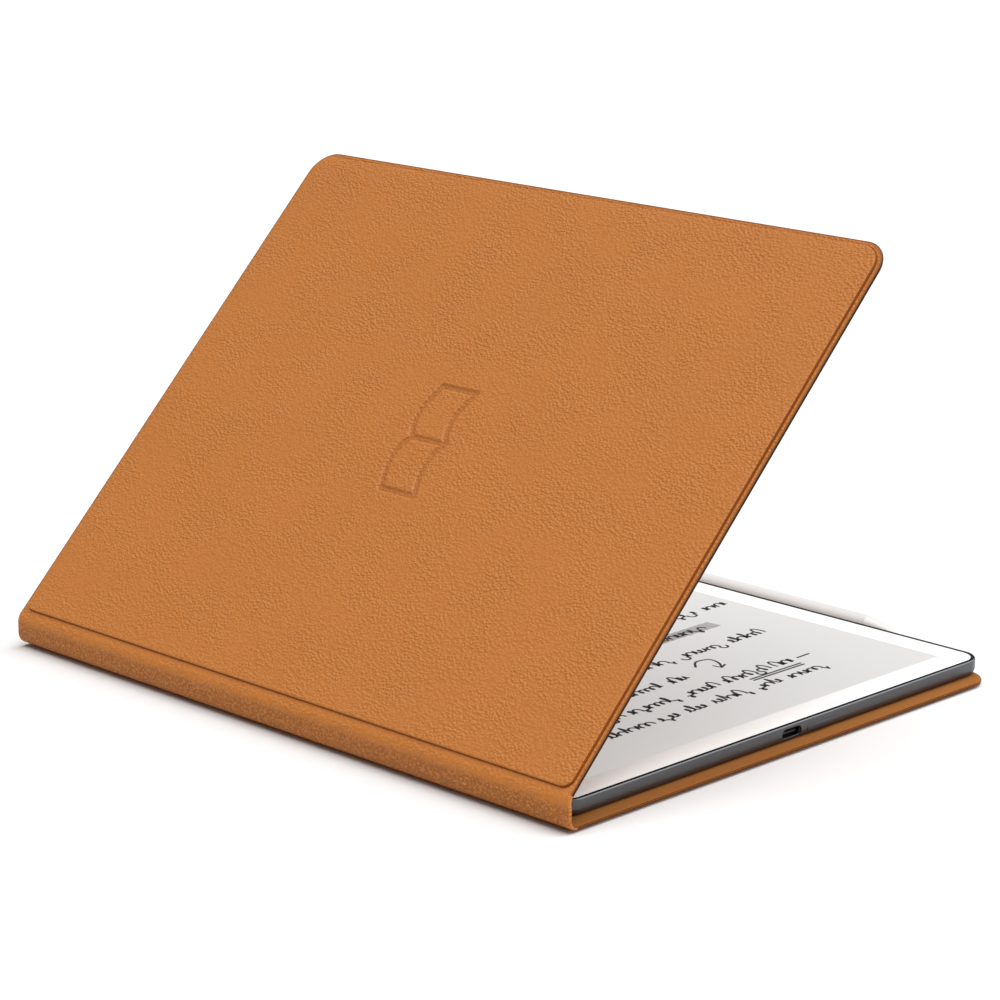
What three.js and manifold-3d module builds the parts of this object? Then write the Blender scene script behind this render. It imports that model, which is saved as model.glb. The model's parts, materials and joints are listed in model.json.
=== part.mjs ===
// An eleven inch e-paper reader lying in its book-style leather folio, with its pen held on the long edge.
//
// Units are millimetres and +Z is up. The origin is the centre of the flat bottom panel that the folio
// rests on. +X runs from the folio's spine to its free edge, and +Y runs along the spine, away from the
// edge with the charging port. The front cover stands open over the screen.

import * as THREE from "three";
import { mergeVertices } from "three/addons/utils/BufferGeometryUtils.js";
import Module from "manifold-3d";

const wasm = await Module();
wasm.setup();

// ---------------------------------------------------------------- driving dimensions

// Reader
const READER_WIDTH = 190;
const READER_LENGTH = 245.8;
const READER_THICKNESS = 5.4;
const READER_CORNER = 8;
const READER_X = 4.8;
const DISPLAY_WIDTH = 168.1;
const DISPLAY_LENGTH = 224.2;
const FOOT_PROUD = 0.2;
const CASE_FLOOR = 0.7;
const CASE_WALL = 2.2;
const RIM_WIDTH = 0.7;
const RIM_CHAMFER = 0.4;
const GLASS_SEAT_Z = 4.75;
const GLASS_INSET_GAP = 0.15;
const GLASS_THICKNESS = 0.4;

// Folio: leather outside, a stiff board in the panel, and lining inside
const COVER_LENGTH = 256;
const LEATHER = 0.7;
const LINING = 0.5;
const PANEL_RISE = 0.8;
const PANEL_INSET = 1.8;
const PANEL_START = 1.4;
const OUTER_CORNER = 9.5;
const PANEL_CORNER = 3.5;
const PANEL_CHAMFER = 0.2;
const LINING_INSET = 0.3;
const FOLD_END_CORNER = 0.4;

// Spine and the two folds that it hangs between
const SPINE_X = -99.8;
const SPINE_HEIGHT = 10;
const SPINE_THICKNESS = 2;
const OPEN_ANGLE = 45.3;
const FRONT_COVER_REACH = 197.25;
const BACK_COVER_REACH = 197.5;
const FOLD_GAP = 1.2;
const FOLD_BEAD_RADIUS = 0.95;

// Charging port and power button, on the edge that faces -Y
const PORT_X = -2.2;
const PORT_Z = 2.6;
const PORT_WIDTH = 8.94;
const PORT_HEIGHT = 3.16;
const PORT_DEPTH = 7;
const PORT_WALL = 0.3;
const PORT_SET_BACK = 0.5;
const PORT_BACK_WALL = 0.6;
const TONGUE = { width: 6.7, length: 5.3, height: 0.7, gap: 0.3 };
const BUTTON_X = 10.9;
const BUTTON_Z = 2.3;
const BUTTON_LENGTH = 11.6;
const BUTTON_HEIGHT = 1.9;
const BUTTON_PROUD = 0.15;

// Pen
const PEN_RADIUS = 4.25;
const PEN_GAP = 0.3;
const PEN_Z = 2.7;
const BARREL_FRONT = -70.7;
const BARREL_BACK = 70.1;
const NOSE_END = -82.9;
const NIB_END = -84.5;
const CAP_END = 78;
const BARREL_BORE = 3.4;
const SPIGOT_FIT = 0.15;
const NOSE_BACK = -66.5;
const NOSE_TIP_RADIUS = 1;
const NIB_RADIUS = 0.55;
const NIB_BACK = -55.4;
const COIL = { radius: 2.6, front: -66, back: -57 };
const SENSOR = { radius: 2.3, front: -55, back: -51.5 };
const CAP_GAP = 0.5;
const CAP_SPIGOT = 4;
const SIDE_BUTTON = { y: -48, length: 14, width: 3, proud: 0.35, depth: 0.9 };

// Clearances between separate pieces, and facets on round ones
const CLEARANCE = 0.3;
const LAYER_GAP = 0.05;
const PEN_FACETS = 24;
const SMALL_FACETS = 16;

const FLANGE = LEATHER + LINING;
const COVER_THICKNESS = FLANGE + PANEL_RISE;
const FLANGE_MID = FLANGE / 2;
const BOTTOM_FOLD_Z = PANEL_RISE + FLANGE_MID;
const TOP_FOLD_Z = BOTTOM_FOLD_Z + SPINE_HEIGHT;
const HALF_WIDTH = READER_WIDTH / 2;
const HALF_LENGTH = READER_LENGTH / 2;
const PEN_X = HALF_WIDTH + PEN_GAP + PEN_RADIUS;

// Heights in the reader, from the lining it stands on
const CASE_BOTTOM = FOOT_PROUD;
const CASE_INSIDE = CASE_BOTTOM + CASE_FLOOR;
const BOARD_BOTTOM = CASE_INSIDE + 0.65;
const BOARD_TOP = BOARD_BOTTOM + 0.6;
const FRAME_BOTTOM = 3;
const FRAME_TOP = 3.5;
const DIGITIZER = { bottom: 3.58, top: 3.88 };
const PANEL = { bottom: 3.93, top: 4.26 };
const LIGHT_GUIDE = { bottom: 4.33, top: 4.7 };
const GLASS_BOTTOM = GLASS_SEAT_Z + 0.2;
const GLASS_TOP = GLASS_BOTTOM + GLASS_THICKNESS;

// ---------------------------------------------------------------- materials

const finish = (color, roughness, metalness = 0) =>
  new THREE.MeshStandardMaterial({ color, roughness, metalness });

const FINISHES = {
  leather: () => finish(0xc3783f, 0.6),
  lining: () => finish(0x96643c, 0.9),
  board: () => finish(0x8a8175, 0.9),
  magnet: () => finish(0xa9abae, 0.35, 1),
  caseMetal: () => finish(0x4b4d51, 0.45, 0.9),
  glass: () => finish(0xf2f2f0, 0.15),
  mask: () => finish(0xf4f4f2, 0.6),
  guide: () => finish(0xe6eef2, 0.1),
  paper: () => finish(0xdcdcda, 0.8),
  circuit: () => finish(0x2f5b3a, 0.5),
  steel: () => finish(0xb9bbbd, 0.35, 1),
  frame: () => finish(0x8d9094, 0.5, 0.9),
  cell: () => finish(0x2b2d30, 0.5),
  flex: () => finish(0xa8702a, 0.5),
  rubber: () => finish(0x26272a, 0.9),
  button: () => finish(0x55575b, 0.4, 0.9),
  darkPlastic: () => finish(0x1d1e20, 0.5),
  pen: () => finish(0xf3f3f1, 0.35),
  nib: () => finish(0x3a3b3d, 0.6),
  ferrite: () => finish(0x4a4646, 0.7),
};

const part = new THREE.Group();

function add(group, name, finishName, geometry) {
  const mesh = new THREE.Mesh(geometry, FINISHES[finishName]());
  mesh.name = name;
  group.add(mesh);
  return mesh;
}

// ---------------------------------------------------------------- shape helpers

// One closed ring of a rectangle with round corners. The two ends in X can have different corner radii.
function ring(x0, x1, y0, y1, cornerLow, cornerHigh, z, steps = 5) {
  const corners = [
    [x1 - cornerHigh, y1 - cornerHigh, cornerHigh, 0],
    [x0 + cornerLow, y1 - cornerLow, cornerLow, 1],
    [x0 + cornerLow, y0 + cornerLow, cornerLow, 2],
    [x1 - cornerHigh, y0 + cornerHigh, cornerHigh, 3],
  ];
  const points = [];
  for (const [cx, cy, radius, quarter] of corners) {
    for (let i = 0; i <= steps; i += 1) {
      const angle = ((quarter + i / steps) * Math.PI) / 2;
      points.push([cx + radius * Math.cos(angle), cy + radius * Math.sin(angle), z]);
    }
  }
  return points;
}

// A closed body through a list of rings with the same number of points, with a flat cap at each end.
function loft(rings) {
  const count = rings[0].length;
  const indices = [];
  for (let r = 0; r + 1 < rings.length; r += 1) {
    for (let i = 0; i < count; i += 1) {
      const a = r * count + i;
      const b = r * count + ((i + 1) % count);
      indices.push(a, b, b + count, a, b + count, a + count);
    }
  }
  const last = (rings.length - 1) * count;
  for (let i = 1; i + 1 < count; i += 1) {
    indices.push(0, i + 1, i, last, last + i, last + i + 1);
  }
  const geometry = new THREE.BufferGeometry();
  geometry.setAttribute("position", new THREE.Float32BufferAttribute(rings.flat(2), 3));
  geometry.setIndex(indices);
  return geometry;
}

// A block centred on x, y with round vertical corners and a small chamfer on its top edge.
function block(width, length, z0, z1, { corner = 0.3, chamfer = 0, x = 0, y = 0 } = {}) {
  const outline = (inset, z) => {
    const radius = Math.max(corner - inset, 0.05);
    const halfX = width / 2 - inset;
    const halfY = length / 2 - inset;
    return ring(x - halfX, x + halfX, y - halfY, y + halfY, radius, radius, z, 3);
  };
  const rings = [outline(0, z0), outline(0, z1 - chamfer)];
  if (chamfer > 0) rings.push(outline(chamfer, z1));
  return loft(rings);
}

// A cylinder that stands along Z.
function post(radius, z0, z1, x = 0, y = 0, facets = 16) {
  const geometry = new THREE.CylinderGeometry(radius, radius, z1 - z0, facets);
  geometry.rotateX(Math.PI / 2);
  return geometry.translate(x, y, (z0 + z1) / 2);
}

// A body of revolution about Y from [radius, y] pairs.
function turned(profile, facets = PEN_FACETS) {
  const points = profile.map(([radius, y]) => new THREE.Vector2(radius, y));
  return new THREE.LatheGeometry(points, facets);
}

// A flat bar with round ends, long in X and tall in Z, that runs from y0 to y1.
function pill(length, height, y0, y1, x, z) {
  const radius = height / 2;
  const outline = new THREE.Shape();
  outline.absarc(length / 2 - radius, 0, radius, -Math.PI / 2, Math.PI / 2);
  outline.absarc(radius - length / 2, 0, radius, Math.PI / 2, (3 * Math.PI) / 2);
  const options = { depth: y1 - y0, bevelEnabled: false, curveSegments: 6 };
  const geometry = new THREE.ExtrudeGeometry(outline, options);
  geometry.rotateX(Math.PI / 2);
  return geometry.translate(x, y1, z);
}

function toManifold(geometry) {
  const bare = geometry.clone();
  bare.deleteAttribute("normal");
  bare.deleteAttribute("uv");
  const merged = mergeVertices(bare, 1e-4);
  return new wasm.Manifold(
    new wasm.Mesh({
      numProp: 3,
      vertProperties: new Float32Array(merged.attributes.position.array),
      triVerts: new Uint32Array(merged.index.array),
    }),
  );
}

function fromManifold(solid) {
  const mesh = solid.getMesh();
  const geometry = new THREE.BufferGeometry();
  geometry.setAttribute("position", new THREE.BufferAttribute(mesh.vertProperties, 3));
  geometry.setIndex(new THREE.BufferAttribute(mesh.triVerts, 1));
  return geometry;
}

function subtract(base, cutters) {
  const cut = cutters.reduce((solid, cutter) => solid.subtract(toManifold(cutter)), toManifold(base));
  return fromManifold(cut);
}

function join(base, additions) {
  const joined = additions.reduce((solid, piece) => solid.add(toManifold(piece)), toManifold(base));
  return fromManifold(joined);
}

// ---------------------------------------------------------------- folio

// A frame at a fold line: local +X runs along the leaf away from the fold and local +Z points outwards.
function foldFrame(x, z, angle) {
  const group = new THREE.Group();
  group.position.set(x, 0, z);
  group.rotation.y = -THREE.MathUtils.degToRad(angle);
  part.add(group);
  return group;
}

// Outline of a cover leaf's flange and of the raised panel in it, shrunk by inset on every side.
function flangeRing(reach, inset, z) {
  const half = COVER_LENGTH / 2 - inset;
  return ring(FOLD_GAP, reach - inset, -half, half, FOLD_END_CORNER, OUTER_CORNER - inset, z);
}

function panelRing(reach, inset, z) {
  const half = COVER_LENGTH / 2 - PANEL_INSET - inset;
  const low = PANEL_CORNER - inset;
  const high = OUTER_CORNER - PANEL_INSET - inset;
  return ring(PANEL_START + inset, reach - PANEL_INSET - inset, -half, half, low, high, z);
}

// One cover leaf: leather that wraps the raised board, the board with its magnets, and the lining.
function coverLeaf(group, name, reach, magnetPlaces) {
  const flangeTop = FLANGE_MID;
  const flangeBottom = FLANGE_MID - LEATHER;
  const panelTop = FLANGE_MID + PANEL_RISE;
  const pocketTop = panelTop - LEATHER;
  add(
    group,
    `${name}_leather`,
    "leather",
    loft([
      panelRing(reach, LEATHER, pocketTop),
      panelRing(reach, LEATHER, flangeBottom),
      flangeRing(reach, 0, flangeBottom),
      flangeRing(reach, 0, flangeTop),
      panelRing(reach, 0, flangeTop),
      panelRing(reach, 0, panelTop - PANEL_CHAMFER),
      panelRing(reach, PANEL_CHAMFER, panelTop),
    ]),
  );

  const boardTop = pocketTop - LAYER_GAP;
  const boardBottom = flangeBottom;
  const boardInset = LEATHER + LAYER_GAP;
  const board = loft([
    panelRing(reach, boardInset, boardBottom),
    panelRing(reach, boardInset, boardTop),
  ]);
  const windows = magnetPlaces.map(({ x, y, width, length }) =>
    block(width + 2 * CLEARANCE, length + 2 * CLEARANCE, boardBottom - 1, boardTop + 1, { x, y }),
  );
  add(group, `${name}_board`, "board", subtract(board, windows));
  magnetPlaces.forEach(({ x, y, width, length }, i) => {
    const magnet = block(width, length, boardBottom, boardTop - LAYER_GAP, { x, y });
    add(group, `${name}_magnet_${i + 1}`, "magnet", magnet);
  });

  const liningTop = flangeBottom - LAYER_GAP;
  const lining = loft([
    flangeRing(reach, LINING_INSET, -FLANGE_MID),
    flangeRing(reach, LINING_INSET, liningTop),
  ]);
  add(group, `${name}_lining`, "lining", lining);
}

// Four magnets in the back cover face four in the reader.
const HOLDING_MAGNET = { x: 84, y: 62, width: 6, length: 32 };
const holdingPlaces = [-1, 1].flatMap((sideX) =>
  [-1, 1].map((sideY) => ({
    ...HOLDING_MAGNET,
    x: sideX * HOLDING_MAGNET.x,
    y: sideY * HOLDING_MAGNET.y,
  })),
);

// The back cover is the same leaf turned over, so that its panel faces down.
const backCover = foldFrame(SPINE_X, BOTTOM_FOLD_Z, 0);
backCover.rotation.x = Math.PI;
coverLeaf(
  backCover,
  "back_cover",
  BACK_COVER_REACH,
  holdingPlaces.map((place) => ({ ...place, x: place.x + READER_X - SPINE_X })),
);

// Two magnets near the free edge hold the front cover shut.
const CLOSING_MAGNET = { inset: 7, y: 88, width: 4, length: 22 };
const frontCover = foldFrame(SPINE_X, TOP_FOLD_Z, OPEN_ANGLE);
coverLeaf(
  frontCover,
  "front_cover",
  FRONT_COVER_REACH,
  [-1, 1].map((side) => ({
    ...CLOSING_MAGNET,
    x: FRONT_COVER_REACH - CLOSING_MAGNET.inset,
    y: side * CLOSING_MAGNET.y,
  })),
);

// The spine is a narrow leaf between the two folds, stiffened by a strip between leather and lining.
const spine = foldFrame(SPINE_X, BOTTOM_FOLD_Z, 90);
const spineTop = SPINE_THICKNESS / 2;
const spineLeatherBase = spineTop - LEATHER;
const spineLiningTop = LINING - spineTop;

function spineLayer(foldGap, endInset, zLow, zHigh) {
  const half = COVER_LENGTH / 2 - endInset;
  const corner = FOLD_END_CORNER;
  const outline = (z) => ring(foldGap, SPINE_HEIGHT - foldGap, -half, half, corner, corner, z, 2);
  return loft([outline(zLow), outline(zHigh)]);
}

// At each fold the leather runs round the fold line as a bead, so no gap opens as the leaves turn.
const foldBead = (x) => {
  const bead = new THREE.CylinderGeometry(FOLD_BEAD_RADIUS, FOLD_BEAD_RADIUS, COVER_LENGTH, 20);
  return bead.translate(x, 0, 0);
};
const spineSkin = join(spineLayer(0, 0, spineLeatherBase, spineTop), [
  foldBead(0),
  foldBead(SPINE_HEIGHT),
]);
add(spine, "spine_leather", "leather", spineSkin);
const STIFFENER_INSET = 0.7;
const stiffener = spineLayer(
  FOLD_GAP + STIFFENER_INSET,
  STIFFENER_INSET,
  spineLiningTop + LAYER_GAP,
  spineLeatherBase - LAYER_GAP,
);
add(spine, "spine_stiffener", "board", stiffener);
add(spine, "spine_lining", "lining", spineLayer(FOLD_GAP, LINING_INSET, -spineTop, spineLiningTop));

// ---------------------------------------------------------------- reader

// Local z = 0 is the lining that the reader's feet stand on.
const reader = new THREE.Group();
reader.position.set(READER_X, 0, COVER_THICKNESS);
part.add(reader);

// The case and glass reach further towards the spine, with tighter corners there. The display
// stays centred on local x = 0.
const SPINE_SIDE_EXTRA = 6.1;
const SPINE_SIDE_CORNER = 6;

function readerRing(inset, z) {
  const rounded = (radius) => Math.max(radius - inset, 1);
  const lowX = inset - HALF_WIDTH - SPINE_SIDE_EXTRA;
  const highX = HALF_WIDTH - inset;
  const halfY = HALF_LENGTH - inset;
  return ring(lowX, highX, -halfY, halfY, rounded(SPINE_SIDE_CORNER), rounded(READER_CORNER), z, 7);
}

const FOOT = { radius: 4.5, recess: 0.3, x: 78, y: 108, facets: 20 };
const footPlaces = [-1, 1].flatMap((sx) => [-1, 1].map((sy) => [sx * FOOT.x, sy * FOOT.y]));
const SCREW = { head: 1.7, headHeight: 0.6, shank: 0.7, bottom: 1.05, x: 60, yFront: -116, yBack: -88 };
const SCREW_HOLE = 1;
const BOSS_RADIUS = 2.6;
const screwPlaces = [-1, 1].flatMap((side) =>
  [SCREW.yFront, SCREW.yBack].map((y) => [side * SCREW.x, y]),
);

// The case is a shallow metal tray: soft lower edge, upright wall, bright chamfer and a flat rim.
const RIM_INSET = RIM_CHAMFER + RIM_WIDTH;
const SIDE_CURVE_WIDTH = 2.4;
const SIDE_CURVE_HEIGHT = 3.4;
const SIDE_CURVE_STEPS = 4;
const sideCurve = Array.from({ length: SIDE_CURVE_STEPS + 1 }, (_, i) => {
  const angle = ((i / SIDE_CURVE_STEPS) * Math.PI) / 2;
  const inset = SIDE_CURVE_WIDTH * (1 - Math.sin(angle));
  return readerRing(inset, CASE_BOTTOM + SIDE_CURVE_HEIGHT * (1 - Math.cos(angle)));
});
const tray = loft([
  ...sideCurve,
  readerRing(0, READER_THICKNESS - RIM_CHAMFER),
  readerRing(RIM_CHAMFER, READER_THICKNESS),
  readerRing(RIM_INSET, READER_THICKNESS),
  readerRing(RIM_INSET, GLASS_SEAT_Z),
  readerRing(CASE_WALL, GLASS_SEAT_Z),
  readerRing(CASE_WALL, CASE_INSIDE),
]);
const bosses = screwPlaces.map(([x, y]) =>
  post(BOSS_RADIUS, CASE_INSIDE - CLEARANCE, BOARD_BOTTOM - LAYER_GAP, x, y),
);
const wallOutside = -HALF_LENGTH - 1;
const wallInside = -HALF_LENGTH + CASE_WALL + CLEARANCE;
const slotGap = 2 * CLEARANCE;
const caseCuts = [
  pill(PORT_WIDTH + slotGap, PORT_HEIGHT + slotGap / 2, wallOutside, wallInside, PORT_X, PORT_Z),
  pill(BUTTON_LENGTH + slotGap, BUTTON_HEIGHT + slotGap, wallOutside, wallInside, BUTTON_X, BUTTON_Z),
  ...footPlaces.map(([x, y]) =>
    post(FOOT.radius + CLEARANCE, CASE_BOTTOM - 1, CASE_BOTTOM + FOOT.recess, x, y, FOOT.facets),
  ),
  ...screwPlaces.map(([x, y]) =>
    post(SCREW_HOLE, CASE_INSIDE - CLEARANCE, BOARD_BOTTOM + 1, x, y, SMALL_FACETS),
  ),
];
add(reader, "rear_case", "caseMetal", subtract(join(tray, bosses), caseCuts));

footPlaces.forEach(([x, y], i) => {
  const foot = post(FOOT.radius, 0, CASE_BOTTOM + FOOT.recess - LAYER_GAP, x, y, FOOT.facets);
  add(reader, `rubber_foot_${i + 1}`, "rubber", foot);
});

// Front: cover glass, the white mask printed behind it, the light guide and its row of lamps.
const GLASS_INSET = RIM_INSET + GLASS_INSET_GAP;
const GLASS_CHAMFER = 0.1;
const glassPane = loft([
  readerRing(GLASS_INSET, GLASS_BOTTOM),
  readerRing(GLASS_INSET, GLASS_TOP - GLASS_CHAMFER),
  readerRing(GLASS_INSET + GLASS_CHAMFER, GLASS_TOP),
]);
add(reader, "front_glass", "glass", glassPane);
const maskWindow = block(DISPLAY_WIDTH, DISPLAY_LENGTH, GLASS_SEAT_Z - 1, GLASS_TOP, { corner: 0.5 });
const maskPlate = loft([
  readerRing(GLASS_INSET, GLASS_SEAT_Z + LAYER_GAP),
  readerRing(GLASS_INSET, GLASS_BOTTOM - LAYER_GAP),
]);
add(reader, "white_mask", "mask", subtract(maskPlate, [maskWindow]));

// The stack under the glass, from the light guide down to the frame that carries it.
const STACK_FRONT = -114.6;
const STACK_WIDTH = 173;
function stackSlab(width, back, { bottom, top }) {
  return block(width, back - STACK_FRONT, bottom, top, { corner: 1.5, y: (back + STACK_FRONT) / 2 });
}
const lampHeights = [LIGHT_GUIDE.bottom, LIGHT_GUIDE.top];
add(reader, "light_guide", "guide", stackSlab(STACK_WIDTH, 115, LIGHT_GUIDE));
add(reader, "lamp_strip", "flex", block(150, 1.6, ...lampHeights, { y: 116.2 }));
add(reader, "epaper_panel", "paper", stackSlab(STACK_WIDTH, 116.8, PANEL));
add(reader, "pen_digitizer_board", "circuit", stackSlab(STACK_WIDTH + 1, 117.5, DIGITIZER));

// The frame is a plate with four large windows, cut away over the port, the button and the cable.
const CABLE = { x: 40, width: 36, thickness: 0.15 };
const FRAME_WINDOW = { width: 60, length: 62, x: 40, y: 40, shift: 15 };
const EDGE_CUT = { length: 18, y: -HALF_LENGTH, room: 2, corner: 1 };
const frameEdge = readerRing(CASE_WALL + CLEARANCE, FRAME_BOTTOM);
const framePlate = loft([frameEdge, frameEdge.map(([x, y]) => [x, y, FRAME_TOP])]);
function frameCut(width, length, x, y, corner) {
  return block(width, length, FRAME_BOTTOM - 1, FRAME_TOP + 1, { corner, x, y });
}
const edgeCut = (x, width) =>
  frameCut(width + EDGE_CUT.room, EDGE_CUT.length, x, EDGE_CUT.y, EDGE_CUT.corner);
const frameWindows = [-1, 1].flatMap((sx) =>
  [-1, 1].map((sy) => {
    const y = FRAME_WINDOW.shift + sy * FRAME_WINDOW.y;
    return frameCut(FRAME_WINDOW.width, FRAME_WINDOW.length, sx * FRAME_WINDOW.x, y, 3);
  }),
);
const frameCuts = [
  edgeCut(PORT_X, PORT_WIDTH),
  edgeCut(BUTTON_X, BUTTON_LENGTH),
  edgeCut(CABLE.x, CABLE.width),
  ...frameWindows,
];
add(reader, "mid_frame", "frame", subtract(framePlate, frameCuts));

// Main board with its screened blocks, screws, the power switch and the charging port.
const BOARD_FRONT = -120.2;
const BOARD_BACK = -84;
const BOARD_WIDTH = 140;
const boardPlate = block(BOARD_WIDTH, BOARD_BACK - BOARD_FRONT, BOARD_BOTTOM, BOARD_TOP, {
  corner: 2,
  y: (BOARD_BACK + BOARD_FRONT) / 2,
});
const portNotchLength = 2 * (PORT_DEPTH - 1);
const portNotch = block(PORT_WIDTH + 1, portNotchLength, 0, FRAME_TOP, { x: PORT_X, y: BOARD_FRONT });
const boardHoles = screwPlaces.map(([x, y]) => post(SCREW_HOLE, 0, FRAME_TOP, x, y, SMALL_FACETS));
add(reader, "main_board", "circuit", subtract(boardPlate, [portNotch, ...boardHoles]));

const canBottom = BOARD_TOP + LAYER_GAP;
const canTop = FRAME_BOTTOM - LAYER_GAP;
const SHIELDS = {
  processor_shield: { width: 34, length: 22, x: -32, y: -100 },
  radio_shield: { width: 18, length: 16, x: 28, y: -98 },
};
for (const [name, { width, length, x, y }] of Object.entries(SHIELDS)) {
  const can = block(width, length, canBottom, canTop, { corner: 0.8, chamfer: 0.15, x, y });
  add(reader, name, "steel", can);
}

const headTop = canBottom + SCREW.headHeight;
const screwProfile = [
  [0, SCREW.bottom],
  [SCREW.shank, SCREW.bottom],
  [SCREW.shank, canBottom],
  [SCREW.head, canBottom],
  [SCREW.head, headTop - 0.2],
  [SCREW.head - 0.3, headTop],
  [0, headTop],
];
screwPlaces.forEach(([x, y], i) => {
  const screw = turned(screwProfile, SMALL_FACETS).rotateX(Math.PI / 2).translate(x, y, 0);
  add(reader, `board_screw_${i + 1}`, "steel", screw);
});

const portFront = -HALF_LENGTH + PORT_SET_BACK;
const portBack = portFront + PORT_DEPTH;
const portBlock = pill(PORT_WIDTH, PORT_HEIGHT, portFront, portBack, PORT_X, PORT_Z);
const portHollow = pill(
  PORT_WIDTH - 2 * PORT_WALL,
  PORT_HEIGHT - 2 * PORT_WALL,
  portFront - 1,
  portBack - PORT_BACK_WALL,
  PORT_X,
  PORT_Z,
);
add(reader, "usb_c_shell", "steel", subtract(portBlock, [portHollow]));
const tongueBack = portBack - PORT_BACK_WALL - TONGUE.gap;
const tongue = block(
  TONGUE.width,
  TONGUE.length,
  PORT_Z - TONGUE.height / 2,
  PORT_Z + TONGUE.height / 2,
  { x: PORT_X, y: tongueBack - TONGUE.length / 2 },
);
add(reader, "usb_c_tongue", "darkPlastic", tongue);

const buttonFace = -HALF_LENGTH - BUTTON_PROUD;
const buttonBack = -HALF_LENGTH + CASE_WALL - CLEARANCE;
const button = pill(BUTTON_LENGTH, BUTTON_HEIGHT, buttonFace, buttonBack, BUTTON_X, BUTTON_Z);
add(reader, "power_button", "button", button);
const SWITCH = { width: 4.5, length: 2, height: 0.8 };
const powerSwitch = block(SWITCH.width, SWITCH.length, canBottom, canBottom + SWITCH.height, {
  x: BUTTON_X,
  y: buttonBack + 1.4,
});
add(reader, "power_switch", "darkPlastic", powerSwitch);

// A flat cable leaves the display's front edge, turns down through the frame and lands on the board.
const cableStart = PANEL.bottom + CABLE.thickness;
const cableEnd = BOARD_TOP + 0.2;
const cableRoute = [
  [STACK_FRONT - CLEARANCE, cableStart],
  [-117.2, cableStart],
  [-118, 3.7],
  [-118.2, 3.1],
  [-117.8, 2.6],
  [-117, cableEnd],
  [-112, cableEnd],
];
const halfCable = CABLE.width / 2;
const halfCableThickness = CABLE.thickness / 2;
const cableSection = new THREE.Shape([
  new THREE.Vector2(-halfCable, -halfCableThickness),
  new THREE.Vector2(halfCable, -halfCableThickness),
  new THREE.Vector2(halfCable, halfCableThickness),
  new THREE.Vector2(-halfCable, halfCableThickness),
]);
const cablePath = new THREE.CatmullRomCurve3(
  cableRoute.map(([y, z]) => new THREE.Vector3(CABLE.x, y, z)),
);
const cable = new THREE.ExtrudeGeometry(cableSection, { steps: 18, extrudePath: cablePath });
add(reader, "display_cable", "flex", cable);
add(reader, "wifi_antenna", "flex", block(60, 2.4, ...lampHeights, { x: -45, y: 119 }));

// Two flat cells, their protection board, and the magnets at the sides.
const CELL = { width: 76, length: 128, x: 39.5, y: 4 };
[-1, 1].forEach((side, i) => {
  const cell = block(CELL.width, CELL.length, CASE_INSIDE + 0.1, FRAME_BOTTOM - 0.15, {
    corner: 2,
    chamfer: 0.3,
    x: side * CELL.x,
    y: CELL.y,
  });
  add(reader, `battery_cell_${i + 1}`, "cell", cell);
});
add(reader, "battery_board", "circuit", block(34, 6, 1.6, 2.4, { corner: 0.8, y: -66 }));
holdingPlaces.forEach(({ x, y, width, length }, i) => {
  const magnet = block(width, length, CASE_INSIDE + LAYER_GAP, FRAME_BOTTOM - 0.5, { x, y });
  add(reader, `reader_magnet_${i + 1}`, "magnet", magnet);
});
const PEN_MAGNET = { y: 32, length: 26, width: 2, bottom: 1.1, top: 2.8 };
const penMagnetX = HALF_WIDTH - CASE_WALL - 1.5;
[-1, 1].forEach((side, i) => {
  const magnet = block(PEN_MAGNET.width, PEN_MAGNET.length, PEN_MAGNET.bottom, PEN_MAGNET.top, {
    x: penMagnetX,
    y: side * PEN_MAGNET.y,
  });
  add(reader, `pen_side_magnet_${i + 1}`, "magnet", magnet);
});

// ---------------------------------------------------------------- pen

// The pen lies along Y beside the reader, with its tip towards the charging port's edge.
const pen = new THREE.Group();
pen.position.set(PEN_X, 0, PEN_Z);
reader.add(pen);

const spigot = BARREL_BORE - SPIGOT_FIT;

// An oblong bar with round ends that runs along Y, between two distances from the pen's axis.
function sideBar(length, width, x0, x1) {
  const bar = pill(length, width, x0, x1, 0, 0);
  return bar.rotateZ(Math.PI / 2).translate(0, SIDE_BUTTON.y, 0);
}

const tube = turned([
  [BARREL_BORE, BARREL_FRONT],
  [PEN_RADIUS, BARREL_FRONT],
  [PEN_RADIUS, BARREL_BACK],
  [BARREL_BORE, BARREL_BACK],
  [BARREL_BORE, BARREL_FRONT],
]);
const buttonSlot = sideBar(
  SIDE_BUTTON.length + slotGap,
  SIDE_BUTTON.width + slotGap,
  -PEN_RADIUS - 1,
  -BARREL_BORE + 1,
);
add(pen, "pen_barrel", "pen", subtract(tube, [buttonSlot]));
const buttonOuter = PEN_RADIUS + SIDE_BUTTON.proud;
const buttonInner = PEN_RADIUS - SIDE_BUTTON.depth;
const sideButton = sideBar(SIDE_BUTTON.length, SIDE_BUTTON.width, -buttonOuter, -buttonInner);
add(pen, "pen_side_button", "pen", sideButton);

const nibBore = NIB_RADIUS + SPIGOT_FIT;
const nose = turned([
  [nibBore, NOSE_END],
  [NOSE_TIP_RADIUS, NOSE_END],
  [2.6, -77],
  [3.7, -73],
  [PEN_RADIUS, BARREL_FRONT - CLEARANCE],
  [spigot, BARREL_FRONT - CLEARANCE],
  [spigot, NOSE_BACK],
  [nibBore, NOSE_BACK],
  [nibBore, NOSE_END],
]);
add(pen, "pen_nose", "pen", nose);
const nib = turned(
  [
    [0, NIB_END],
    [0.35, NIB_END + 0.15],
    [NIB_RADIUS, NIB_END + 0.6],
    [NIB_RADIUS, NIB_BACK],
    [0, NIB_BACK],
  ],
  SMALL_FACETS,
);
add(pen, "pen_nib", "nib", nib);
const coil = turned(
  [
    [nibBore, COIL.front],
    [COIL.radius, COIL.front],
    [COIL.radius, COIL.back],
    [nibBore, COIL.back],
    [nibBore, COIL.front],
  ],
  SMALL_FACETS,
);
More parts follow.
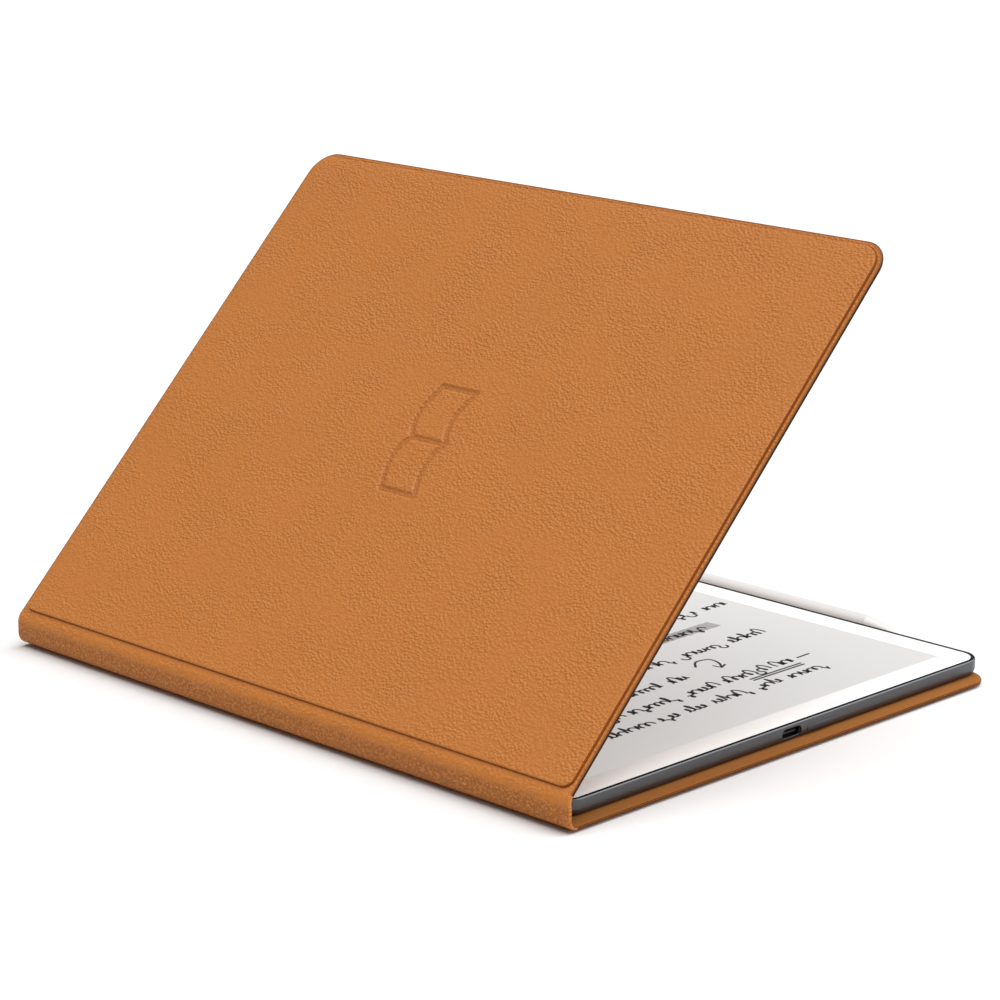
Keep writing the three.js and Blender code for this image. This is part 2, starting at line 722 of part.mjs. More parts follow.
add(pen, "pen_coil", "ferrite", coil);
const sensor = turned(
  [
    [0, SENSOR.front],
    [SENSOR.radius, SENSOR.front],
    [SENSOR.radius, SENSOR.back],
    [0, SENSOR.back],
  ],
  SMALL_FACETS,
);
add(pen, "pen_pressure_sensor", "darkPlastic", sensor);
const PEN_BOARD = { width: 3.4, length: 58, x: 1, y: -20.5 };
const penBoard = block(PEN_BOARD.width, PEN_BOARD.length, -0.3, 0.3, { x: PEN_BOARD.x, y: PEN_BOARD.y });
add(pen, "pen_circuit_board", "circuit", penBoard);
const BARREL_MAGNET = { width: 1.6, length: 20, height: 2.4, x: -2.2 };
[-1, 1].forEach((side, i) => {
  const half = BARREL_MAGNET.height / 2;
  const magnet = block(BARREL_MAGNET.width, BARREL_MAGNET.length, -half, half, {
    x: BARREL_MAGNET.x,
    y: side * PEN_MAGNET.y,
  });
  add(pen, `pen_magnet_${i + 1}`, "magnet", magnet);
});

// The cap is a spigot that plugs the barrel, and a dome.
const CAP_STEPS = 6;
const domeStart = CAP_END - PEN_RADIUS;
const capProfile = [
  [0, BARREL_BACK - CAP_SPIGOT],
  [spigot, BARREL_BACK - CAP_SPIGOT],
  [spigot, BARREL_BACK + CAP_GAP],
  [PEN_RADIUS, BARREL_BACK + CAP_GAP],
];
for (let i = 0; i <= CAP_STEPS; i += 1) {
  const angle = ((i / CAP_STEPS) * Math.PI) / 2;
  const radius = i === CAP_STEPS ? 0 : PEN_RADIUS * Math.cos(angle);
  capProfile.push([radius, domeStart + PEN_RADIUS * Math.sin(angle)]);
}
add(pen, "pen_eraser_cap", "pen", turned(capProfile));

export default part;
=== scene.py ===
import json
import math
import random

import bmesh
import bpy
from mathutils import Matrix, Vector, noise
from mathutils.geometry import delaunay_2d_cdt


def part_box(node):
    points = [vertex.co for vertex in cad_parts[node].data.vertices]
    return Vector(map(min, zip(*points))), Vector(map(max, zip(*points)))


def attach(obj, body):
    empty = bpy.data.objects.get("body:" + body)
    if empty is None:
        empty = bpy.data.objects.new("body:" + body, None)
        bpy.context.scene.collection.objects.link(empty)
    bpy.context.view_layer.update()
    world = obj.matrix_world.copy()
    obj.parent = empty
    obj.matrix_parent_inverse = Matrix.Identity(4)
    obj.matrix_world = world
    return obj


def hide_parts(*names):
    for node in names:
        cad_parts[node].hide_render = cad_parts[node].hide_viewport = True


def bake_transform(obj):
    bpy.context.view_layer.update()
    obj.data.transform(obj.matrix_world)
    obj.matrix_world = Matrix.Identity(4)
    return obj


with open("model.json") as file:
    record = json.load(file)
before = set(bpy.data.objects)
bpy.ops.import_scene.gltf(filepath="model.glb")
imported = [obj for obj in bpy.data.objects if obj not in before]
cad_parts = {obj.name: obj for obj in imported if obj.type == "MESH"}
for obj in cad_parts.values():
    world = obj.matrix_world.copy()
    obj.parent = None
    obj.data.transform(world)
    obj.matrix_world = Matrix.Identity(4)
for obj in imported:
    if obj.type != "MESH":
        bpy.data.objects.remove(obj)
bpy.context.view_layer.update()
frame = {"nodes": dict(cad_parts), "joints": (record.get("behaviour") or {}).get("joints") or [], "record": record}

# An e-paper reader lying in its open leather folio, with its pen held along one side.
# Everything is in metres in the frame's own axes. The CAD nodes give the places.

MM = 0.001
RANDOM = random.Random(11)


def joint_named(name):
    return next(joint for joint in frame["joints"] if joint["name"] == name)


def joint_place(name):
    return Vector(joint_named(name)["pos_m"])


# -------------------- sizes

# Folio
LEATHER = 0.7 * MM
LINING = 0.5 * MM
LAYER_GAP = 0.05 * MM
CONTACT_GAP = 0.02 * MM
PANEL_RISE = 0.8 * MM
PANEL_INSET = 1.8 * MM
PANEL_START = 1.4 * MM
PANEL_CORNER = 3.5 * MM
OUTER_CORNER = 9.5 * MM
LINING_INSET = 0.15 * MM
OPEN_ANGLE = math.radians(45.3)
BOTTOM_BEND = 4.0 * MM
TOP_BEND = 5.0 * MM
FLANGE_HALF = (LEATHER + LINING) / 2
GRAIN_RELIEF = 0.1 * MM
FINE_GRAIN = 0.9 * MM
COARSE_GRAIN = 2.2 * MM
COARSE_SHARE = 0.6

back_low, back_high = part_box("back_cover_leather")
BOTTOM_FOLD = joint_place("spine_hinge")
TOP_FOLD = joint_place("cover_hinge")
COVER_HALF = (back_high.y - back_low.y) / 2
SPINE_BULGE = 1.9 * MM
FOLD_MARGIN = 4.0 * MM
SPINE_OUTSIDE = BOTTOM_FOLD.x - SPINE_BULGE
SPINE_THICKNESS = 2.0 * MM
FRONT_REACH = 197.25 * MM

# Reader
case_low, case_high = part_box("rear_case")
glass_low, glass_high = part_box("front_glass")
display_low, display_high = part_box("epaper_panel")
# The border beside the spine is wider, so the display's middle is not the case's.
READER_CENTRE = Vector(((display_low.x + display_high.x) / 2, 0, 0))
READER_HALF = (case_high.x - READER_CENTRE.x, (case_high.y - case_low.y) / 2)
READER_CORNER = 8 * MM
SPINE_SIDE_CORNER = 6 * MM
DISPLAY_HALF = (84.05 * MM, 112.1 * MM)


# -------------------- materials


def node(tree, kind, inputs=None, **settings):
    """Adds a shader node. An input is a number, a colour or another node's socket."""
    made = tree.nodes.new(kind)
    for name, value in settings.items():
        setattr(made, name, value)
    for name, value in (inputs or {}).items():
        if isinstance(value, bpy.types.NodeSocket):
            tree.links.new(value, made.inputs[name])
        else:
            made.inputs[name].default_value = value
    return made


def rgba(red, green, blue):
    """An sRGB colour from 0 to 255 as the linear colour that shaders use."""
    def linear(value):
        value /= 255
        return value / 12.92 if value <= 0.04045 else ((value + 0.055) / 1.055) ** 2.4
    return (linear(red), linear(green), linear(blue), 1.0)


def new_material(name, roughness=0.5, metallic=0.0, **sockets):
    material = bpy.data.materials.new(name)
    material.use_nodes = True
    shader = material.node_tree.nodes["Principled BSDF"]
    shader.inputs["Roughness"].default_value = roughness
    shader.inputs["Metallic"].default_value = metallic
    for socket, value in sockets.items():
        shader.inputs[socket.replace("_", " ")].default_value = value
    return material, material.node_tree, shader


def blend_colours(tree, factor, first, second):
    mix = node(tree, "ShaderNodeMix", data_type="RGBA")
    tree.links.new(factor, mix.inputs[0])
    for socket, value in ((mix.inputs[6], first), (mix.inputs[7], second)):
        if isinstance(value, bpy.types.NodeSocket):
            tree.links.new(value, socket)
        else:
            socket.default_value = value
    return mix.outputs[2]


def ramp(tree, factor, low, high, smooth=True):
    """Maps factor from low..high to 0..1."""
    kind = "SMOOTHSTEP" if smooth else "LINEAR"
    inputs = {"Value": factor, "From Min": low, "From Max": high}
    made = node(tree, "ShaderNodeMapRange", inputs, interpolation_type=kind)
    return made.outputs["Result"]


def arithmetic(tree, operation, first, second):
    made = node(tree, "ShaderNodeMath", operation=operation)
    for socket, value in zip(made.inputs, (first, second)):
        if isinstance(value, bpy.types.NodeSocket):
            tree.links.new(value, socket)
        else:
            socket.default_value = value
    return made.outputs[0]


def flat_coordinates(tree, per_metre):
    """The leather's own flat coordinates, so that its grain stays put when the folio moves."""
    flat = node(tree, "ShaderNodeUVMap", uv_map="flat").outputs["UV"]
    scale = node(tree, "ShaderNodeVectorMath", {0: flat, 1: (per_metre,) * 3}, operation="MULTIPLY")
    return scale.outputs[0]


def object_coordinates(tree, per_metre):
    place = node(tree, "ShaderNodeTexCoord").outputs["Object"]
    scale = node(tree, "ShaderNodeVectorMath", {0: place, 1: (per_metre,) * 3}, operation="MULTIPLY")
    return scale.outputs[0]


def leather_material(name, colour, valley_shade_colour):
    """Fine creased leather. Its cells are small on the covers, and coarser on the spine.

    Painted shade darkens the grain's valleys, a painted highlight lightens the crests of the spine's
    wrinkles, and the spine's lighter tan is painted light.
    """
    material, tree, shader = new_material(name, roughness=0.52)
    shader.inputs["Specular IOR Level"].default_value = 0.3
    millimetres = flat_coordinates(tree, 1000)
    along = node(tree, "ShaderNodeSeparateXYZ", {"Vector": millimetres}).outputs["X"]
    spine = ramp(tree, arithmetic(tree, "ABSOLUTE", along, 0.0), *SPINE_FADE)
    wrinkled = arithmetic(tree, "MULTIPLY", spine, ramp(tree, along, *WRINKLE_FADE))
    jitter = node(tree, "ShaderNodeTexNoise", {"Vector": millimetres, "Scale": 0.7, "Detail": 1.0})
    shift = {0: jitter.outputs["Color"], 1: (JITTER,) * 3, 2: millimetres}
    shifted = node(tree, "ShaderNodeVectorMath", shift, operation="MULTIPLY_ADD").outputs[0]
    stretch = {0: shifted, 1: (1.0, STRETCH, 1.0)}
    drawn_out = node(tree, "ShaderNodeVectorMath", stretch, operation="MULTIPLY").outputs[0]

    def cells(vector, size):
        inputs = {"Vector": vector, "Scale": 1 / size, "Smoothness": 0.35, "Randomness": 1.0}
        found = node(tree, "ShaderNodeTexVoronoi", inputs, feature="SMOOTH_F1")
        return found.outputs["Distance"]

    small = cells(drawn_out, PEBBLE)
    breaks = node(tree, "ShaderNodeTexNoise", {"Vector": millimetres, "Scale": 1.2, "Detail": 3.0})
    uneven = arithmetic(tree, "SUBTRACT", breaks.outputs["Fac"], 0.5)
    large = arithmetic(tree, "ADD", cells(drawn_out, SPINE_PEBBLE), uneven)
    patches = node(tree, "ShaderNodeTexNoise", {"Vector": millimetres, "Scale": 0.06, "Detail": 2.0})
    swell = arithmetic(tree, "ADD", ramp(tree, patches.outputs["Fac"], 0.3, 0.7), 0.5)
    small_height = arithmetic(tree, "MULTIPLY", ramp(tree, small, 0.75, 0.05), swell)
    large_height = arithmetic(tree, "MULTIPLY", ramp(tree, large, 0.75, 0.1), wrinkled)
    large_height = arithmetic(tree, "MULTIPLY", large_height, SPINE_RELIEF)
    height = arithmetic(tree, "ADD", small_height, large_height)
    bump = node(tree, "ShaderNodeBump", {"Strength": 1.0, "Distance": PEBBLE_HEIGHT, "Height": height})
    tree.links.new(bump.outputs["Normal"], shader.inputs["Normal"])

    slow = node(tree, "ShaderNodeTexNoise", {"Vector": millimetres, "Scale": 0.03, "Detail": 4.0})
    lighter = tuple(min(1, c * 1.02) for c in colour[:3]) + (1,)
    darker = tuple(c * 0.98 for c in colour[:3]) + (1,)
    base = blend_colours(tree, ramp(tree, slow.outputs["Fac"], 0.3, 0.7), darker, lighter)
    # Painted light: the spine gets a lighter tan that brightens it.
    base = blend_colours(tree, spine, base, SPINE_PAINTED_LIGHT_TAN)
    # Painted highlight: the crests of the spine's wrinkles are lightened.
    crest_highlight = arithmetic(tree, "MULTIPLY", ramp(tree, large, 0.45, 0.1), wrinkled)
    base = blend_colours(tree, crest_highlight, base, SPINE_CREST_HIGHLIGHT)
    # Painted shade: the grain's valleys are darkened towards the valley colour.
    small_valley_shade = arithmetic(tree, "MULTIPLY", ramp(tree, small, 0.35, 0.8), GROOVE_SHADE)
    large_valley_shade = arithmetic(tree, "MULTIPLY", ramp(tree, large, 0.35, 0.75), wrinkled)
    large_valley_shade = arithmetic(tree, "MULTIPLY", large_valley_shade, SPINE_VALLEY_SHADE)
    depth = arithmetic(tree, "MAXIMUM", small_valley_shade, large_valley_shade)
    tree.links.new(blend_colours(tree, depth, base, valley_shade_colour), shader.inputs["Base Color"])
    return material


def grainy_material(name, colour, roughness, metallic, grain_mm, contrast, relief, flat=False, **sockets):
    """A finish with fine mottling: bead-blasted metal, moulded plastic, suede, rubber or board."""
    material, tree, shader = new_material(name, roughness, metallic, **sockets)
    place = flat_coordinates(tree, 1000) if flat else object_coordinates(tree, 1000)
    fine = node(tree, "ShaderNodeTexNoise", {"Vector": place, "Scale": 1 / grain_mm, "Detail": 3.0})
    spread = ramp(tree, fine.outputs["Fac"], 0.3, 0.7, smooth=False)
    low = tuple(c * (1 - contrast) for c in colour[:3]) + (1,)
    high = tuple(min(1, c * (1 + contrast)) for c in colour[:3]) + (1,)
    tree.links.new(blend_colours(tree, spread, low, high), shader.inputs["Base Color"])
    limits = {"Value": fine.outputs["Fac"], "To Min": roughness * 0.9, "To Max": min(1, roughness * 1.1)}
    rough = node(tree, "ShaderNodeMapRange", limits)
    tree.links.new(rough.outputs["Result"], shader.inputs["Roughness"])
    if relief:
        inputs = {"Strength": relief, "Distance": 0.05 * MM, "Height": fine.outputs["Fac"]}
        tree.links.new(node(tree, "ShaderNodeBump", inputs).outputs["Normal"], shader.inputs["Normal"])
    return material


# Sizes of the leather's cells, and distances from the spine's middle, in millimetres. The spine's
# lighter colour, painted light, fades in over SPINE_FADE, and its wrinkles fade out upwards over
# WRINKLE_FADE.
PEBBLE = 0.88
SPINE_PEBBLE = 0.95
SPINE_FADE = (7.0, 4.2)
WRINKLE_FADE = (4.0, 0.5)
PEBBLE_HEIGHT = 0.2 * MM
SPINE_RELIEF = 2.2
STRETCH = 0.8
JITTER = 0.5
# How strongly painted shade darkens the grain's valleys, on the covers and on the spine.
GROOVE_SHADE = 0.2
SPINE_VALLEY_SHADE = 0.6
TAN = rgba(188, 116, 51)
# Painted shade in the grain's valleys.
TAN_VALLEY_SHADE = rgba(150, 80, 24)
# Painted light: a lighter tan that brightens the spine.
SPINE_PAINTED_LIGHT_TAN = rgba(198, 122, 52)
# Painted highlight on the crests of the spine's wrinkles.
SPINE_CREST_HIGHLIGHT = rgba(216, 138, 62)
# The pressed lines' colour: partly darker pressed leather, partly painted shade in their grooves.
PRESSED_SHADED_TAN = rgba(176, 106, 44)
# Painted shade in the grain's valleys of the pressed lines.
PRESSED_VALLEY_SHADE = rgba(146, 80, 28)
# Colour, roughness, metallic, grain in millimetres, contrast and relief of each finish.
# The first group follows the leather's flat coordinates, because its pieces bend.
FLAT_FINISHES = {
    "leather_edge": (rgba(62, 36, 18), 0.7, 0, 0.5, 0.12, 0.3),
    "brown_edge": (rgba(96, 54, 20), 0.7, 0, 0.5, 0.12, 0.3),
    # A darker brown band along the rolled rim.
    "darker_rim_band": (rgba(134, 80, 38), 0.6, 0, 0.5, 0.1, 0.3),
    # Painted shade in the groove at the panel's step.
    "crease_shade": (rgba(140, 76, 28), 0.6, 0, 0.5, 0.1, 0.3),
    "brown_lining": (rgba(142, 90, 43), 0.9, 0, 0.25, 0.1, 0.5),
}
FINISHES = {
    "cover_board": (rgba(138, 129, 117), 0.9, 0, 0.4, 0.12, 0.3),
    "magnet": (rgba(169, 171, 174), 0.35, 1, 1.5, 0.05, 0),
    "graphite_case": (rgba(93, 95, 98), 0.42, 0.85, 0.12, 0.06, 0.15),
    "white_mask": (rgba(246, 246, 245), 0.42, 0, 3.0, 0.005, 0),
    "epaper": (rgba(150, 150, 149), 0.5, 0, 0.1, 0.012, 0.05),
    "ink": (rgba(30, 30, 32), 0.6, 0, 0.2, 0.15, 0),
    "marker": (rgba(158, 158, 158), 0.6, 0, 0.3, 0.08, 0),
    "light_guide": (rgba(230, 238, 242), 0.1, 0, 2.0, 0.01, 0),
    "circuit_board": (rgba(47, 91, 58), 0.45, 0, 0.8, 0.12, 0.1),
    "plated_steel": (rgba(104, 106, 109), 0.45, 1, 0.6, 0.06, 0.05),
    "frame_metal": (rgba(141, 144, 148), 0.5, 0.9, 0.5, 0.08, 0.15),
    "battery_wrap": (rgba(43, 45, 48), 0.5, 0, 1.5, 0.1, 0.1),
    "flex_circuit": (rgba(168, 112, 42), 0.45, 0, 0.7, 0.1, 0.05),
    "foot_rubber": (rgba(38, 39, 42), 0.85, 0, 0.3, 0.12, 0.3),
    "button_metal": (rgba(82, 84, 87), 0.5, 0.85, 0.12, 0.06, 0.1),
    "black_plastic": (rgba(26, 27, 29), 0.45, 0, 0.3, 0.1, 0.1),
    # Painted shade: black for the flat rim beside the glass, the gap's shade.
    "gap_shade_black": (rgba(14, 14, 15), 0.8, 0, 0.3, 0.1, 0.1),
    # Painted highlight: lighter metal for the bevel round the glass.
    "bevel_highlight_metal": (rgba(108, 111, 115), 0.5, 0.85, 0.3, 0.05, 0),
    "pen_white": (rgba(214, 214, 213), 0.34, 0, 0.5, 0.008, 0.03),
    "nib_plastic": (rgba(66, 67, 70), 0.6, 0, 0.2, 0.08, 0.1),
    "ferrite": (rgba(74, 70, 70), 0.7, 0, 0.3, 0.12, 0.2),
    "front_glass": (rgba(240, 240, 239), 0.3, 0, 3.0, 0.005, 0),
}
# Sockets that a finish sets besides those.
DULL = {"Specular_IOR_Level": 0.1}
MORE_SOCKETS = {
    "leather_edge": DULL,
    "brown_edge": DULL,
    "darker_rim_band": {"Specular_IOR_Level": 0.2},
    "crease_shade": DULL,
    "brown_lining": DULL,
    "white_mask": {"Coat_Weight": 0.35, "Coat_Roughness": 0.18},
    # The e-paper glows: partly the reader's front light, partly painted light that brightens the display in the
    # front cover's shade.
    "epaper": {"Emission_Color": (1.0, 1.0, 0.99, 1.0), "Emission_Strength": 0.37},
    "gap_shade_black": {"Specular_IOR_Level": 0.15},
    "pen_white": {"Coat_Weight": 0.25, "Coat_Roughness": 0.2},
}
MATERIALS = {
    "tan_leather": leather_material("tan_leather", TAN, TAN_VALLEY_SHADE),
    "pressed_shaded_leather": leather_material("pressed_shaded_leather", PRESSED_SHADED_TAN, PRESSED_VALLEY_SHADE),
}
for finishes, is_flat in ((FLAT_FINISHES, True), (FINISHES, False)):
    for finish_name, values in finishes.items():
        more = MORE_SOCKETS.get(finish_name, {})
        MATERIALS[finish_name] = grainy_material(finish_name, *values, flat=is_flat, **more)


def dress(piece, *names):
    piece.data.materials.clear()
    for name in names:
        piece.data.materials.append(MATERIALS[name] if isinstance(name, str) else name)


# Each CAD node that stays gets the material of its slot.
for entry in frame["record"]["subparts"]:
    dress(frame["nodes"][entry["node"]], entry["material_slot"])


# -------------------- mesh helpers


def make_piece(name, vertices, faces, slot, sharp_angle=35, materials=None):
    mesh = bpy.data.meshes.new(name)
    mesh.from_pydata([tuple(v) for v in vertices], [], faces)
    build = bmesh.new()
    build.from_mesh(mesh)
    bmesh.ops.remove_doubles(build, verts=build.verts, dist=1e-7)
    bmesh.ops.dissolve_degenerate(build, edges=build.edges, dist=1e-8)
    bmesh.ops.recalc_face_normals(build, faces=build.faces)
    build.to_mesh(mesh)
    build.free()
    piece = bpy.data.objects.new(name, mesh)
    bpy.context.scene.collection.objects.link(piece)
    smooth(piece, sharp_angle)
    dress(piece, *(materials or [slot]))
    return piece


def smooth(piece, sharp_angle=35):
    piece.data.polygons.foreach_set("use_smooth", [True] * len(piece.data.polygons))
    piece.data.set_sharp_from_angle(angle=math.radians(sharp_angle))


def outline(half_x, half_y, corner_low, corner_high, steps=12, low_x=None):
    """Anticlockwise corners of a rectangle whose two ends in X can have different corner radii."""
    low_x = -half_x if low_x is None else low_x
    points = []
    corners = (
        (half_x - corner_high, half_y - corner_high, corner_high, 0),
        (low_x + corner_low, half_y - corner_low, corner_low, 1),
        (low_x + corner_low, corner_low - half_y, corner_low, 2),
        (half_x - corner_high, corner_high - half_y, corner_high, 3),
    )
    for x, y, radius, quarter in corners:
        for step in range(steps + 1):
            angle = (quarter + step / steps) * math.pi / 2
            points.append((x + radius * math.cos(angle), y + radius * math.sin(angle)))
    return points


def loft(rings, cap_start=True, cap_end=True, closed=False):
    """Vertices and faces of a skin through rings of the same number of points."""
    count = len(rings[0])
    vertices = [point for ring in rings for point in ring]
    faces = []
    spans = len(rings) if closed else len(rings) - 1
    for span in range(spans):
        start, following = span * count, (span + 1) % len(rings) * count
        for i in range(count):
            j = (i + 1) % count
            faces.append((start + i, start + j, following + j, following + i))
    if cap_start and not closed:
        faces.append(tuple(reversed(range(count))))
    if cap_end and not closed:
        faces.append(tuple(range((len(rings) - 1) * count, len(rings) * count)))
    return vertices, faces


# -------------------- camera, light and floor

scene = bpy.context.scene
VIEW_AZIMUTH = math.radians(-45.05)
VIEW_ELEVATION = math.radians(14.9)
VIEW_DISTANCE = 1.0969
VIEW_TARGET = Vector((-0.0014, -0.0006, 0.0561))
LENS = 121.06
SENSOR_WIDTH = 36

towards_camera = Vector((
    math.sin(VIEW_AZIMUTH) * math.cos(VIEW_ELEVATION),
    -math.cos(VIEW_AZIMUTH) * math.cos(VIEW_ELEVATION),
    math.sin(VIEW_ELEVATION),
))
camera_data = bpy.data.cameras.new("camera")
camera_data.lens = LENS
camera_data.sensor_width = SENSOR_WIDTH
camera_data.clip_start = 0.05
camera_data.clip_end = 50
camera = bpy.data.objects.new("camera", camera_data)
camera.location = VIEW_TARGET + towards_camera * VIEW_DISTANCE
camera.rotation_mode = "QUATERNION"
camera.rotation_quaternion = (-towards_camera).to_track_quat("-Z", "Y")
scene.collection.objects.link(camera)
scene.camera = camera
scene.view_settings.view_transform = "Standard"


def soft_sun(name, from_direction, strength, softness):
    """A very large even light source, so that the floor is lit alike everywhere."""
    data = bpy.data.lights.new(name, "SUN")
    data.energy = strength
    data.angle = math.radians(softness)
    light = bpy.data.objects.new(name, data)
    light.location = Vector(from_direction).normalized() * 2
    light.rotation_mode = "QUATERNION"
    light.rotation_quaternion = (-Vector(from_direction)).to_track_quat("-Z", "Y")
    scene.collection.objects.link(light)


soft_sun("overhead_light", (-0.04, 0.02, 1.0), 2.9, 60)
soft_sun("open_side_light", (0.75, -0.45, 0.6), 2.5, 70)

# The backdrop looks brighter to the camera than the light that it gives the object.
AMBIENT = 0.25
BACKDROP = 1.05
world = bpy.data.worlds.new("studio")
world.use_nodes = True
scene.world = world
world_tree = world.node_tree
background = world_tree.nodes["Background"]
background.inputs["Color"].default_value = (1, 1, 1, 1)
seen = node(world_tree, "ShaderNodeLightPath").outputs["Is Camera Ray"]
strength = node(world_tree, "ShaderNodeMapRange", {"Value": seen, "To Min": AMBIENT, "To Max": BACKDROP})
world_tree.links.new(strength.outputs["Result"], background.inputs["Strength"])

FLOOR_RADIUS = 9
FLOOR_DROP = 0.02 * MM
FLOOR_COLOUR = (0.72, 0.72, 0.722, 1)
floor_mesh = bpy.data.meshes.new("floor")
floor_build = bmesh.new()
bmesh.ops.create_circle(floor_build, cap_ends=True, segments=64, radius=FLOOR_RADIUS)
floor_build.to_mesh(floor_mesh)
floor_build.free()
floor = bpy.data.objects.new("floor", floor_mesh)
floor.location.z = -FLOOR_DROP
scene.collection.objects.link(floor)
floor_material, _, _ = new_material("floor", roughness=0.9, Base_Color=FLOOR_COLOUR)
floor_material.node_tree.nodes["Principled BSDF"].inputs["Specular IOR Level"].default_value = 0.1
floor_mesh.materials.append(floor_material)


# -------------------- folio


class FoldPath:
    """The outside of the folio's leather in section: half the spine, the bend, and a cover leaf.

    u is the distance along the leather from the middle of the spine. A point is given by u, by y
    and by n, the height above the leather's outside.
    """

    def __init__(self, turn_centre, radius, spine_sign, turn):
        self.start_z = (BOTTOM_FOLD.z + TOP_FOLD.z) / 2
        self.centre, self.radius = turn_centre, radius
        self.sign, self.turn = spine_sign, turn
        self.straight = abs(turn_centre.z - self.start_z)
        self.bend_end = self.straight + radius * turn

    def frame(self, u):
        """Point, direction and outward normal at u."""
        if u < self.straight:
            point = Vector((SPINE_OUTSIDE, 0, self.start_z + self.sign * u))
            return point, Vector((0, 0, self.sign)), Vector((-1, 0, 0))
        angle = min((u - self.straight) / self.radius, self.turn)
        normal = Vector((-math.cos(angle), 0, self.sign * math.sin(angle)))
        direction = Vector((math.sin(angle), 0, self.sign * math.cos(angle)))
        point = self.centre + normal * self.radius
        return point + direction * max(0.0, u - self.bend_end), direction, normal

    def place(self, u, y, n):
        point, _, normal = self.frame(u)
        return point + normal * n + Vector((0, y, 0))


lower = FoldPath(
    Vector((SPINE_OUTSIDE + BOTTOM_BEND, 0, BOTTOM_FOLD.z - FLANGE_HALF + BOTTOM_BEND)),
    BOTTOM_BEND,
    -1,
    math.pi / 2,
)
cover_direction = Vector((math.cos(OPEN_ANGLE), 0, math.sin(OPEN_ANGLE)))
cover_normal = Vector((-math.sin(OPEN_ANGLE), 0, math.cos(OPEN_ANGLE)))
leaf_start = TOP_FOLD + cover_normal * FLANGE_HALF
corner_travel = (SPINE_OUTSIDE - leaf_start.x) / cover_direction.x
TOP_TURN = math.pi / 2 - OPEN_ANGLE
tangent_length = TOP_BEND * math.tan(TOP_TURN / 2)
corner_z = leaf_start.z + corner_travel * cover_direction.z
upper = FoldPath(Vector((SPINE_OUTSIDE + TOP_BEND, 0, corner_z - tangent_length)), TOP_BEND, 1, TOP_TURN)
# Distances along each cover leaf are counted from its fold line.
LOWER_LEAF = lower.bend_end - (lower.centre.x - BOTTOM_FOLD.x)
UPPER_LEAF = upper.bend_end - (corner_travel + tangent_length)
LOWER_REACH = LOWER_LEAF + back_high.x - BOTTOM_FOLD.x
UPPER_REACH = UPPER_LEAF + FRONT_REACH


def rounded_distance(u, y, low, high, half, corner_low, corner_high):
    """How far a point is inside a rectangle with round corners. It is negative outside."""
    radius = corner_low if u < (low + high) / 2 else corner_high
    across = abs(u - (low + high) / 2) - (high - low) / 2 + radius
    along = abs(y) - half + radius
    outside = math.hypot(max(across, 0), max(along, 0))
    return radius - outside - min(max(across, along), 0)


def piecewise(value, stops):
    """Linear between (value, result) stops and flat beyond them."""
    if value <= stops[0][0]:
        return stops[0][1]
    for (low, first), (high, second) in zip(stops, stops[1:]):
        if value <= high:
            return first + (second - first) * (value - low) / (high - low)
    return stops[-1][1]


def scaled(pairs):
    return [(first * MM, second * MM) for first, second in pairs]


# Height against distance inside an edge: the rolled outer edge, and the step up to the panel.
EDGE_ROLL = scaled([(0, -0.42), (0.05, -0.24), (0.14, -0.12), (0.28, -0.03), (0.45, 0), (0.62, 0)])
DARK_ROLL = 0.14 * MM
DARKER_RIM_ROLL = 0.6 * MM
PANEL_STEP = scaled([
    (-0.4, 0), (-0.15, -0.04), (0, -0.08), (0.06, 0), (0.1, 0.2), (0.18, 0.5), (0.32, 0.68), (0.55, 0.77),
    (0.9, 0.8),
])
# Bands across the panel's edge that get painted shade at its step; narrower along the fold.
CREASE_SHADE_BAND = (-0.2 * MM, 0.3 * MM)
FOLD_CREASE_SHADE_BAND = (-0.05 * MM, 0.2 * MM)


class Motif:
    """A plain open-book outline pressed into the front cover."""

    HALF_WIDTH, HALF_HEIGHT = 20 * MM, 10 * MM
    DEPTH = 0.45 * MM
    HALF_STROKE = 1.5 * MM
    TOP, BOTTOM, BOW = 0.72, -0.8, 0.32

    def __init__(self, u, y):
        self.lines = []
        for side in (-1, 1):
            self.lines += [[(u + side * a, y + b) for a, b in line] for line in self.page()]
        self.lines.append([(u, y + level * self.HALF_HEIGHT) for level in (self.BOTTOM, self.TOP)])

    def page(self):
        def leaf_edge(level, bow):
            steps = 10
            for i in range(steps + 1):
                t = i / steps
                lift = bow * math.sin(math.pi * t ** 0.8)
                yield self.HALF_WIDTH * t, level + lift
        bow = self.BOW * self.HALF_HEIGHT
        top = list(leaf_edge(self.TOP * self.HALF_HEIGHT, bow))
        bottom = list(leaf_edge(self.BOTTOM * self.HALF_HEIGHT, bow))
        return [top, bottom, [top[-1], bottom[-1]]]

    def distance(self, u, y):
        best = 1.0
        point = Vector((u, y))
        for line in self.lines:
            for first, second in zip(line, line[1:]):
                a, b = Vector(first), Vector(second)
                t = max(0.0, min(1.0, (point - a).dot(b - a) / (b - a).length_squared))
                best = min(best, (point - a - (b - a) * t).length)
        return best

    def near(self, u, y):
        u0, y0 = self.lines[-1][0]
        return abs(u - u0) < self.HALF_WIDTH + 3 * MM and abs(y) < self.HALF_HEIGHT + 5 * MM

    # Where the pressed lines are coloured darker: partly pressed leather, partly painted shade.
    def pressed(self, u, y):
        return self.near(u, y) and self.distance(u, y) < 0.6 * self.HALF_STROKE

    def height(self, u, y):
        if not self.near(u, y):
            return 0.0
        share = piecewise(self.distance(u, y) / self.HALF_STROKE, [(0.5, 1), (0.9, 0)])
        return -self.DEPTH * share * share * (3 - 2 * share)


def spread_along(first, second, longest):
    steps = max(1, math.ceil(math.dist(first, second) / longest - 1e-6))
    return [
        tuple(a + (b - a) * i / steps for a, b in zip(first, second))
        for i in range(steps)
    ]


